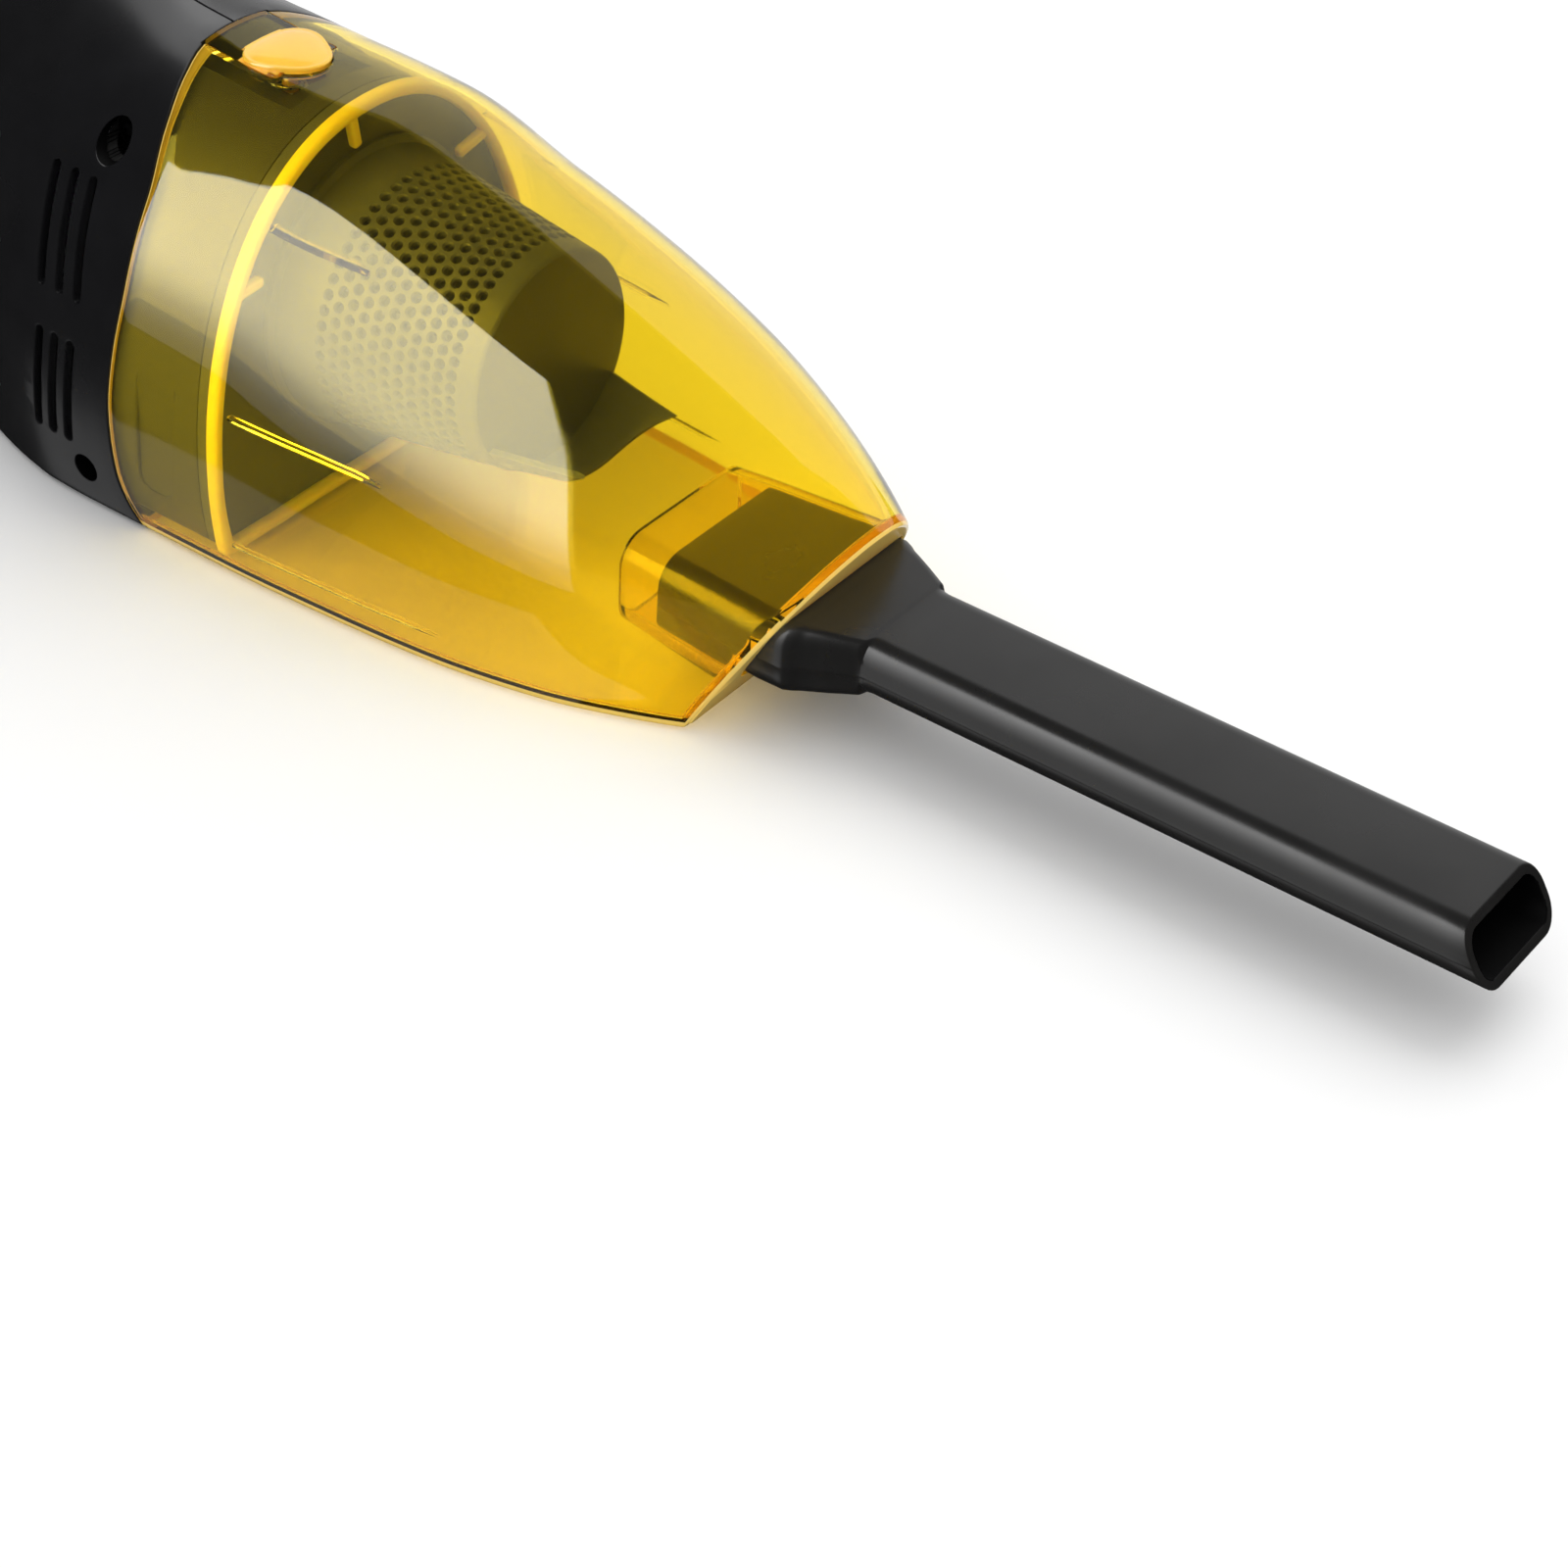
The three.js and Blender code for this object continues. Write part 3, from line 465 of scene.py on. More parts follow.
def add_bump(material, texture, strength, distance):
    """Bump from a noise texture on the shader's normal."""
    bump = node(material, "ShaderNodeBump", Strength=strength, Distance=distance)
    link(material, texture, "Fac", bump, "Height")
    link(material, bump, "Normal", shader_of(material), "Normal")
    return bump


def mix_base(material, low, high, source, socket):
    """Base colour between two colours, by the output of a node."""
    mix = node(material, "ShaderNodeMix", data_type="RGBA")
    mix.inputs[6].default_value = (*low, 1)
    mix.inputs[7].default_value = (*high, 1)
    link(material, source, socket, mix, "Factor")
    link(material, mix, 2, shader_of(material), "Base Color")


def plastic(name, color, rough, grain=2600.0, depth=3e-6, shade=0.12, edge=0.0, **settings):
    """Plastic with uneven gloss, a fine grain, slight tone changes and softened edges."""
    material = new_material(name, color, rough, **settings)
    gloss = remap(material, noise(material, 38.0, 5.0), rough * 0.82, rough * 1.2)
    link(material, gloss, "Result", shader_of(material), "Roughness")
    bump = add_bump(material, noise(material, grain, 2.0), 1.0, depth)
    if edge:
        soft = node(material, "ShaderNodeBevel", samples=4, Radius=edge)
        link(material, soft, "Normal", bump, "Normal")
    tone = remap(material, noise(material, 90.0, 4.0), 0.0, 1.0)
    mix_base(material, [c * (1 - shade) for c in color],
             [min(1.0, c * (1 + shade)) for c in color], tone, "Result")
    return material


def metal(name, color, rough, stretch=(1.0, 1.0, 1.0)):
    material = new_material(name, color, rough, metallic=1.0)
    lines = noise(material, 900.0, 3.0, stretch)
    gloss = remap(material, lines, rough * 0.7, rough * 1.4)
    link(material, gloss, "Result", shader_of(material), "Roughness")
    add_bump(material, lines, 0.4, 4e-6)
    return material


def clear_amber(name, tint, painted_glow_tint, density, color):
    """Clear plastic with a little haze. Its depth of colour also comes from the way of the
    light in it. The faces marked "edge" take a deeper orange and let little light through: a
    painted glow, standing in for the light that runs along the edges of the moulding."""
    material = new_material(name, tint, 0.03, IOR=1.49)
    shader = shader_of(material)
    haze = remap(material, noise(material, 60.0, 4.0), 0.015, 0.05)
    link(material, haze, "Result", shader, "Roughness")
    add_bump(material, noise(material, 45.0, 1.0), 0.5, 1.5e-5)
    mark = node(material, "ShaderNodeAttribute", attribute_name="edge")
    mix_base(material, tint, painted_glow_tint, mark, "Fac")
    clear = node(material, "ShaderNodeMapRange", To_Min=0.99, To_Max=0.15)
    link(material, mark, "Fac", clear, "Value")
    link(material, clear, "Result", shader, "Transmission Weight")
    inside = node(material, "ShaderNodeVolumeAbsorption", Color=(*color, 1), Density=density)
    link(material, inside, 0, material.node_tree.nodes["Material Output"], "Volume")
    return material


def mark_painted_glow(obj, pick):
    """Writes the face attribute that the clear amber reads for its painted edge glow."""
    back = TO_ROW.inverted()
    attribute = obj.data.attributes.new("edge", "FLOAT", "FACE")
    for face in obj.data.polygons:
        attribute.data[face.index].value = pick(back @ face.center)


SHELL = plastic("shell_gloss_black", (0.0085, 0.0085, 0.0095), 0.25, edge=0.0003)
TOOL = plastic("tool_gloss_black", (0.012, 0.0115, 0.011), 0.3, edge=0.0002)
FILTER = plastic("filter_black", (0.034, 0.034, 0.032), 0.5, grain=1800.0, depth=6e-6)
COLLAR = plastic("collar_black", (0.015, 0.015, 0.0145), 0.45, grain=1800.0, depth=6e-6)
# Near-black and nearly without gloss, for the insides of the screw recesses and of the tool's bore:
# painted shade.
PAINTED_SHADE = plastic("painted_shade_black", (0.002, 0.002, 0.002), 0.7, Specular_IOR_Level=0.1)
INNER = plastic("inner_black", (0.014, 0.014, 0.015), 0.5, grain=1500.0, depth=8e-6)
# The second colour, with little light let through, is the painted glow on the marked edges.
AMBER = clear_amber("amber_clear", (1.0, 0.88, 0.2), (1.0, 0.72, 0.18), 220.0,
                    (0.99, 0.88, 0.05))
BUTTON = plastic("button_amber", (1.0, 0.56, 0.045), 0.24, grain=900.0, shade=0.04,
                 Subsurface_Weight=0.25, Subsurface_Scale=0.002, Coat_Weight=0.6)
SEAL = plastic("seal_yellow", (1.0, 0.77, 0.09), 0.42, grain=1400.0, depth=1e-5, shade=0.05,
               Subsurface_Weight=0.3, Subsurface_Scale=0.002)
RUBBER = plastic("rubber_black", (0.018, 0.018, 0.018), 0.75, grain=1600.0, depth=2e-5)
STEEL = metal("spring_steel", (0.56, 0.57, 0.6), 0.3)
CAN = metal("can_steel", (0.5, 0.51, 0.53), 0.34, (1.0, 1.0, 12.0))
SCREW = metal("screw_black", (0.06, 0.06, 0.065), 0.45)
COPPER = metal("copper_winding", (0.62, 0.27, 0.11), 0.3, (1.0, 30.0, 30.0))
MAGNET = plastic("magnet_dark", (0.05, 0.05, 0.052), 0.6, grain=2200.0, depth=2e-5)
END_CAP = plastic("end_cap_white", (0.78, 0.76, 0.7), 0.45, shade=0.04)
FAN = plastic("fan_white", (0.7, 0.7, 0.67), 0.4, shade=0.05)
# The media's near-black colour makes the holes of the cage look dark: painted shade.
MEDIA = plastic("filter_media", (0.035, 0.036, 0.036), 0.9, grain=3200.0, depth=1e-4,
                shade=0.35)
LEAD_RED = plastic("lead_red", (0.45, 0.02, 0.02), 0.45, shade=0.1)
LEAD_BLACK = plastic("lead_black", (0.015, 0.015, 0.015), 0.45, shade=0.1)
SWITCH = plastic("switch_dark", (0.025, 0.025, 0.028), 0.5, shade=0.1)


# ---- body shells -----------------------------------------------------------------------
HANDLE_HOLE = [(-58, 79), (-133, 55), (-139, 97), (-64, 102)]
HANDLE_HOLE_WIDER = [(-54.2, 76.4), (-131.9, 51.5), (-142.5, 99.6), (-62.6, 104.8)]
HOLE_RADIUS = 15.0
HOLE_OUTLINE = refine_outline(rounded(HANDLE_HOLE, HOLE_RADIUS, 10), 3.0)
SCREW_SEATS = [(-3.2, 81.2, 4.2, 4.2), (0.3, 10.2, 3.6, 3.3), (-44, 11, 3.6, 3.3),
               (-112, 26, 3.6, 3.3), (-148, 76, 3.2, 2.8), (-98, 113.5, 3.2, 2.8)]
VENT_ROWS = [((-13.9, -8.2, -2.7), -1.4, 50.0, 74.6), ((-12.6, -7.9, -3.0), 0.9, 16.0, 41.0)]
VENT_WIDTH = 2.3
RECESS_DEPTH = 6.0
CREST_CUT = (85, 110)
SWITCH_X = -56.0
SWITCH_TILT = math.radians(22)
SWITCH_Z = ridge(SWITCH_X) - 1.2
SWITCH_FRAME = (Matrix.Translation((SWITCH_X, 0, SWITCH_Z))
                @ Matrix.Rotation(SWITCH_TILT, 4, "Y"))


def body_solid(name, inset, rim_gap, corner=0.0):
    keys = perimeter_keys()
    rows = 66
    start = REAR_X + inset
    ends = [solve_x(key, inset, lambda z: rim_line(z) - rim_gap, 8.0) for key in keys]
    rings = []
    for r in range(rows + 1):
        ease = (r / rows) ** 1.6
        xs = [start + (end - corner - start) * ease for end in ends]
        rings.append(section(keys, xs, inset))
    steps = 5 if corner else 0
    for s in range(1, steps + 1):
        angle = math.pi / 2 * s / steps
        drop = corner * (1 - math.cos(angle))
        xs = [end - corner + corner * math.sin(angle) for end in ends]
        rings.append(section(keys, xs, inset + drop))
    front = closing(rings[-1], (0.85, 0.6, 0.3, 0.1), AXIS_Z, lambda z: rim_line(z) - rim_gap)
    middle = sum(p[2] for p in rings[0]) / len(rings[0])
    rear = closing(rings[0], (0.25, 0.55, 0.8, 0.93), middle, lambda z: start)
    return loft(name, rear + rings + front)


def stadium(x0, z0, x1, z1):
    """Outline of a vent slot: straight, with round ends."""
    steps = 8
    angle = math.atan2(z1 - z0, x1 - x0)
    radius = VENT_WIDTH / 2
    points = []
    for (cx, cz), turn in (((x1, z1), -math.pi / 2), ((x0, z0), math.pi / 2)):
        for i in range(steps + 1):
            a = angle + turn + math.pi * i / steps
            points.append((cx + radius * math.cos(a), cz + radius * math.sin(a)))
    return points


def seam_cutter():
    """Fine V groove along the joint of the two shells, round the outside and the hole."""
    size = 0.34
    xs = [REAR_X + 172 * i / 110 for i in range(111)]
    top = [(x, ridge(x)) for x in reversed(xs)]
    rear = [(REAR_X, 84 - 40 * i / 12) for i in range(1, 12)]
    bottom = [(x, floor_line(x)) for x in xs]

    def groove(outline, depth):
        return [[(x + nx * a, b, z + nz * a)
                 for a, b in ((depth, -size * 1.6), (-depth, 0), (depth, size * 1.6))]
                for (x, z), (nx, nz) in zip(outline, outline_normals(outline))]

    outer = loft("seam_outer", groove(top + rear + bottom, size))
    return outer, loft("seam_inner", groove(HOLE_OUTLINE, -size), looped=True)


def body_shells():
    wider = refine_outline(rounded(HANDLE_HOLE_WIDER, HOLE_RADIUS, 10), 4.0)
    outer = body_solid("outer", 0.0, GAP / 2, 0.45)
    cut(outer, flared("hole", HOLE_OUTLINE, 3.2))
    inner = body_solid("inner", BODY_WALL, -6.0)
    cut(inner, loft("hole_wide", [[(x, y, z) for x, z in wider] for y in (-80, 80)]))
    bosses = [rod_y("boss", boss, -70, 70, x, z) for x, z, boss, _ in SCREW_SEATS]
    bosses = boolean(join("bosses", bosses), "INTERSECT", body_solid("limit", 0.8, 1.0))
    shell = cut(outer, inner)
    boolean(shell, "UNION", bosses)
    cuts = []
    for xs, lean, z0, z1 in VENT_ROWS:
        for x in xs:
            shape = refine_outline(stadium(x - lean, z0 + 1.1, x + lean, z1 - 1.1), 2.0)
            cuts += [flared("vent", shape, 0.45, sides=(side,), inner=24) for side in (-1, 1)]
    cut(shell, join("vents", cuts))
    recesses, shanks = [], []
    for x, z, _, recess in SCREW_SEATS:
        ring = [(x + a, z + b) for a, b in circle(recess, 40)]
        reach = side_depth(x, z)
        recesses.append(flared("recess", ring, 0.4, sides=(-1,), inner=reach - RECESS_DEPTH))
        shanks.append(rod_y("shank", 1.9, -reach, 9, x, z, 20))
    cut(shell, join("recesses", recesses))
    cut(shell, join("shanks", shanks))
    for size in ((-14, 14, -5.5, 5.5, -2.4, 12), (-9, 9, -4, 4, -9, 2)):
        pocket = box("pocket", *size)
        pocket.data.transform(SWITCH_FRAME)
        cut(shell, pocket)
    cut(shell, rod_x("gland_hole", 6.3, -170, -140, GLAND_Z))
    room = NOTCH["half"] + GAP
    cut(shell, box("button_room", -GAP / 2, 30, -room, room, *CREST_CUT))
    for groove in seam_cutter():
        cut(shell, groove)
    twin = new_object("shell_left", shell.data.copy())
    shell.name = "shell_right"
    boolean(shell, "INTERSECT", box("half", -200, 60, -90, -GAP / 2, -10, 150))
    boolean(twin, "INTERSECT", box("half", -200, 60, GAP / 2, 90, -10, 150))
    # The insides of the screw recesses on this shell get the painted shade.
    finish_piece(shell, SHELL, "housing", ["body_shell_right"], 24.0, PAINTED_SHADE,
                 recess_face)
    finish_piece(twin, SHELL, "housing", ["body_shell_left"], 24.0)
    return [shell, twin]


def recess_face(centre, _):
    """Inside of the recesses over the screw heads, which take the painted shade."""
    if centre.y < 0.5 - side_depth(centre.x, centre.z):
        return False
    return any(math.hypot(centre.x - x, centre.z - z) < recess + 0.2
               for x, z, _, recess in SCREW_SEATS)


def screws():
    for i, (x, z, _, _) in enumerate(SCREW_SEATS):
        head = -side_depth(x, z) + RECESS_DEPTH
        profile = [(head - 2.0, 0.02), (head - 1.95, 1.5), (head - 1.6, 2.2),
                   (head - 1.2, 2.5), (head - GAP, 2.5), (head - GAP, 1.5), (7.4, 1.4),
                   (8.0, 0.02)]
        rings = [[(x + r * a, y, z + r * b) for a, b in circle(1.0, 32)] for y, r in profile]
        screw = loft("screw", rings)
        for turn in (0, math.pi / 2):
            blade = box("blade", -1.6, 1.6, -1.3, 0.6, -0.35, 0.35)
            spin = Matrix.Translation((x, head - 2.0, z)) @ Matrix.Rotation(turn, 4, "Y")
            blade.data.transform(spin)
            cut(screw, blade)
        screw.name = f"screw_{i + 1}"
        finish_piece(screw, SCREW, "housing", [f"shell_screw_{i + 1}"])


# ---- dust cup --------------------------------------------------------------------------
NOTCH = {"x1": 21.0, "half": 9.9, "span": (80, 110)}
DUCT = [(124, 21.3, 7.2, 29.4, 6.5), (134, 22.3, 7.2, 29.7, 6.5), (168, 25.4, 7.0, 30.1, 6.5),
        (182, 26.4, 7.0, 30.2, 6.5)]
DUCT_BORE = [(122, 19.1, 9.2, 27.5, 5), (134, 20.5, 9.2, 27.8, 5), (168, 23.6, 8.9, 28.2, 5),
             (190, 25.4, 8.8, 28.3, 5)]
DOME = {"x": 16.0, "long": 9.2, "wide": 9.6, "lobes": 0.09}
# Widths in mm of the bands along the cup's edges that take the painted glow.
PAINTED_GLOW_BAND = {"rim": 0.75, "floor": 2.8, "side": 2.4, "face": 0.95}
CUP_RIBS = [(42, 65, 77.2, 8.2), (43, 83, 40, 1.7), (43, 100, 8.5, 0.0)]


def tube_at(stations, x):
    """Half width, lower z, upper z and corner radius of a tube at x."""
    for a, b in zip(stations, stations[1:]):
        if x <= b[0]:
            t = max((x - a[0]) / (b[0] - a[0]), 0.0)
            return [p + (q - p) * t for p, q in zip(a[1:], b[1:])]
    return list(stations[-1][1:])


def cup_rings(inset, face_x, corner, rim_round, rows=60):
    """Rings from the rim to the centre of the front face."""
    keys = perimeter_keys()
    rim = [solve_x(key, inset, lambda z: rim_line(z) + GAP / 2, 8.0) for key in keys]

    def face(z):
        return face_x + FACE_SLANT * z

    ends = [solve_x(key, inset, face, 165.0) for key in keys]
    rings = []
    for s in range(4):
        angle = math.pi / 2 * s / 4
        drop = rim_round * (1 - math.sin(angle))
        xs = [x0 + abs(rim_round) * (1 - math.cos(angle)) for x0 in rim]
        rings.append(section(keys, xs, inset + drop))
    for r in range(rows + 1):
        xs = [x0 + abs(rim_round) + (x1 - corner - x0 - abs(rim_round)) * r / rows
              for x0, x1 in zip(rim, ends)]
        rings.append(section(keys, xs, inset))
    for s in range(1, 6):
        angle = math.pi / 2 * s / 5
        drop = corner * (1 - math.cos(angle))
        ring = []
        for key, x1 in zip(keys, ends):
            x = x1 - corner + corner * math.sin(angle)
            y, z = form_point(key, x, inset + drop)
            ring.append((min(x, face(z)) if s < 5 else face(z), y, z))
        rings.append(ring)
    return rings + closing(rings[-1], (0.8, 0.55, 0.3, 0.1), MOUTH_Z, face)


def dome_reach(angle):
    """The dome is a soft triangle in plan."""
    return 1 + DOME["lobes"] * math.cos(3 * angle)


def dome_ring(scale, z, sides=72):
    points = []
    for i in range(sides):
        angle = 2 * math.pi * i / sides
        reach = scale * dome_reach(angle)
        points.append((DOME["x"] + DOME["long"] * reach * math.cos(angle),
                       DOME["wide"] * reach * math.sin(angle), z))
    return points


def cup_rib(x0, x1, top, tilt):
    """Thin rib on the inside of the wall, both sides, sloping down by tilt degrees."""
    pair = []
    fall = math.tan(math.radians(tilt))
    for side in (-1, 1):
        rings = []
        steps = 16
        for i in range(steps + 1):
            x = x0 + (x1 - x0) * i / steps
            z = top - fall * (x - x0)
            tall = 1.2 * min(1.0, 6 * (1 - i / steps) + 0.1)
            ring = []
            for inset, dz in ((1.4, -0.55), (1.4, 0.55), (2.0 + tall, 0.4), (2.0 + tall, -0.4)):
                ring.append((x, side * side_depth(x, z + dz, inset), z + dz))
            rings.append(ring)
        pair.append(loft("rib", rings))
    return pair


def notch_block(name, x0, gap, radius):
    """Block that fills the notch in the cup's crest but for a gap."""
    x1, half = NOTCH["x1"] - gap, NOTCH["half"] - gap
    outline = rounded([(x0, -half), (x0, half), (x1, half), (x1, -half)], radius)
    return loft(name, [[(x, y, z) for x, y in outline] for z in NOTCH["span"]])


def dust_cup():
    outer = cup_rings(0.0, FACE_X, 0.9, 0.5)
    inner = cup_rings(CUP_WALL, FACE_X - FACE_WALL, 0.5, -0.4)
    cup = loft("dust_cup_clear", list(reversed(outer)) + inner)
    duct = []
    for i in range(17):
        t = i / 16
        ring = []
        for y, z in slot_section(*tube_at(DUCT, 124 + 46 * t)):
            front = FACE_X + FACE_SLANT * z - 1.2
            ring.append((124 + (front - 124) * t, y, z))
        duct.append(ring)
    boolean(cup, "UNION", loft("duct", duct))
    for rib in CUP_RIBS:
        boolean(cup, "UNION", join("ribs", cup_rib(*rib)))
    bore = [[(x, y, z) for y, z in slot_section(*tube_at(DUCT_BORE, x))]
            for x in [122 + 68 * i / 20 for i in range(21)]]
    cut(cup, loft("bore", bore))
    cut(cup, notch_block("notch", -20, 0.0, 1.5))
    cut(cup, loft("dome_hole", [dome_ring(1.01, z) for z in CREST_CUT]))
    finish_piece(cup, AMBER, "cup", ["dust_cup"], 30.0)
    # The rim, the lower corner and the front edge take the painted glow.
    mark_painted_glow(cup, cup_painted_glow)
    cup.visible_shadow = False
    return cup


def cup_painted_glow(centre):
    """1 on the rim, the lower outer corner and the edge of the front face: the faces that take the
    painted glow.
    """
    x, y, z = centre
    rim = x < rim_line(z) + PAINTED_GLOW_BAND["rim"]
    corner = (z < PAINTED_GLOW_BAND["floor"]
              and abs(y) > half_width(x) - LOWER_TUCK - PAINTED_GLOW_BAND["side"])
    face = x > FACE_X + FACE_SLANT * z - PAINTED_GLOW_BAND["face"]
    return float(rim or corner or face)


# ---- crevice tool ------------------------------------------------------------------------
TOOL_STATIONS = [
    (134, 20.1, 9.9, 27.4, 5.0), (160, 22.4, 10.4, 27.8, 5.0), (166.5, 22.9, 11.0, 27.8, 5.0),
    (168.2, 22.0, 11.15, 27.75, 4.8), (169.6, 20.7, 11.4, 27.6, 4.0),
    (171.5, 19.6, 11.7, 27.45, 3.4), (175.5, 17.7, 12.3, 27.0, 3.0),
    (180.4, 15.3, 13.0, 26.5, 2.9), (181.3, 15.0, 13.15, 26.4, 5.2),
    (183, 15.0, 13.3, 26.3, 5.6), (330, 14.9, 13.3, 26.3, 5.6)]
TOOL_WALL = 2.0


def crevice_tool():
    lip = 0.35

    def tip(z):
        return TIP_TOP_X + TIP_SLANT * (z - 26.3)

    def ring(x, inset, slanted=0.0, line=0.0):
        half, z0, z1, radius = tube_at(TOOL_STATIONS, x)
        radius = max(radius - inset, 1.2)
        flat = slot_section(half - inset, z0 + inset, z1 - inset, radius, line)
        share = min(max((x - 190) / 126, 0.0), 1.0)
        return [(x + (tip(z) - TIP_TOP_X) * share + slanted, y, z) for y, z in flat]

    xs = [134.3, 140, 147, 154, 160, 163, 165, 166.5, 167.3, 168.2, 168.9, 169.6, 170.5, 171.5,
          173.5, 175.5, 178, 180, 180.4, 180.7, 181.0, 181.3, 182, 183, 186]
    xs += [190 + 126 * i / 24 for i in range(25)]
    xs[-1] = TIP_TOP_X - lip
    outer = [ring(x, 0.0, line=0.07) for x in xs]
    for s in range(1, 5):
        angle = math.pi / 2 * s / 4
        outer.append(ring(TIP_TOP_X - lip, lip * (1 - math.cos(angle)), lip * math.sin(angle)))
    inner = [ring(TIP_TOP_X - lip, TOOL_WALL - lip * (1 - math.sin(math.pi / 2 * s / 4)),
                  lip * math.cos(math.pi / 2 * s / 4)) for s in range(5)]
    inner += [ring(x, TOOL_WALL) for x in reversed(xs[:-1])]
    rear_out = [ring(134.0, 0.3), ring(134.05, 0.1)]
    rear_in = [ring(134.05, TOOL_WALL - 0.1), ring(134.0, TOOL_WALL - 0.3)]
    tool = loft("crevice_tool_tube", rear_out + outer + inner + rear_in, looped=True)
    # The inner faces of the bore get the painted shade.
    finish_piece(tool, TOOL, "tool", ["crevice_tool"], 40.0, PAINTED_SHADE, bore_face)
    return tool


def bore_face(centre, normal):
    """Faces of the bore, which look inwards; they take the painted shade."""
    half, z0, z1, _ = tube_at(TOOL_STATIONS, centre.x)
    inside = (half - TOOL_WALL + 0.1 > abs(centre.y)
              and z0 + TOOL_WALL - 0.1 < centre.z < z1 - TOOL_WALL + 0.1)
    return inside and abs(normal.x) < 0.8


# ---- release button ----------------------------------------------------------------------
def release_button():
    wall = form("tongue", -4, 26, 0.0, 2.0)
    cut(wall, form("tongue_in", -5, 27, CUP_WALL, 2.0))
    boolean(wall, "INTERSECT", notch_block("strip", GAP / 2, GAP, 1.2))
    top = ridge(DOME["x"])
    levels = [(0.93, -3.2), (0.95, -3.0), (0.955, -0.4), (0.97, -0.1), (0.985, 0.15),
              (0.985, 0.45), (0.965, 0.68), (0.93, 0.74), (0.9, 0.68), (0.87, 0.72),
              (0.8, 0.93), (0.68, 1.16), (0.52, 1.36), (0.35, 1.49), (0.18, 1.56),
              (0.06, 1.585)]
    dome = loft("dome", [dome_ring(scale, top + rise) for scale, rise in levels])
    boolean(wall, "UNION", dome)
    stem = loft("stem", [[(DOME["x"] + a, b, z) for a, b in circle(1.8, 24)]
                         for z in (84.5, top - 1)])
    boolean(wall, "UNION", stem)
    wall.name = "button_dome"
    finish_piece(wall, BUTTON, "button", ["release_button"], 40.0, AMBER,
                 tongue_face)
    # The tongue's end at the rim takes the painted edge glow as well.
    mark_painted_glow(wall, lambda centre: 1.0 if centre.x < 0.5 else 0.0)
    return wall


def tongue_face(centre, _):
    """The tongue is clear; the dome and the stem under it are not."""
    dx, dy = (centre.x - DOME["x"]) / DOME["long"], centre.y / DOME["wide"]
    return math.hypot(dx, dy) > dome_reach(math.atan2(dy, dx)) * 0.99


# ---- collar, flange, seal ------------------------------------------------------------------
SHELF = {"x1": 28.0, "half": 12.4, "z": 88.6}
WELL = {"x": 16.0, "y": 7.0, "floor": 80.5}
COLLAR_REAR = -8.0
COLLAR_FRONT = 33.4


def front_collar():
    outer = form("collar_skin", COLLAR_REAR, COLLAR_FRONT, COLLAR_INSET, 2.5)
    well = box("well", WELL["x"] - 7, WELL["x"] + 7, -WELL["y"], WELL["y"],
               WELL["floor"] - 1.8, 90)
    shelf = box("shelf", COLLAR_REAR, SHELF["x1"] + 2, -SHELF["half"] - 2, SHELF["half"] + 2,
                SHELF["z"] - 2.2, SHELF["z"] + 1)
    boolean(well, "INTERSECT", outer, keep=True)
    boolean(shelf, "INTERSECT", outer, keep=True)
    inner = form("collar_core", COLLAR_REAR - 1, COLLAR_FRONT - COLLAR_WALL,
                 COLLAR_INSET + COLLAR_WALL, 2.5)
    cut(outer, inner, rod_x("port", 29.5, 20, 60, sides=96))
    boolean(outer, "UNION", well)
    boolean(outer, "UNION", shelf)
    cut(outer, box("shelf_cut", COLLAR_REAR - 1, SHELF["x1"], -SHELF["half"], SHELF["half"],
                   SHELF["z"], 100))
    cut(outer, box("well_cut", WELL["x"] - 5.4, WELL["x"] + 5.4, -WELL["y"] + 1.6,
                   WELL["y"] - 1.6, WELL["floor"], 100))
    seats = [rod_y("seat", boss + 0.5, -70, 70, x, z) for x, z, boss, _ in SCREW_SEATS[:2]]
    cut(outer, join("seats", seats))
    pane = refine_outline(rounded([(15, 11), (25, 11), (29, 72), (17, 72)], 4), 4.0)
    for side in (-1, 1):
        cutter = flared("pane", pane, 0.5, sides=(side,), inner=49.7,
                        surface=lambda x, z: max(side_depth(x, z, COLLAR_INSET), 49.8))
        cut(outer, cutter)
    finish_piece(outer, COLLAR, "housing", ["front_collar"], 28.0)
    return outer


def filter_flange():
    plate = form("flange_plate", 33.7, 36.3, COLLAR_INSET, 1.3)
    boolean(plate, "UNION", rod_x("spigot", 29.2, 28, 34.7, sides=96))
    cut(plate, rod_x("flange_bore", 27.6, 20, 45, sides=96))
    finish_piece(plate, FILTER, "filter", ["filter_flange"])
    return plate


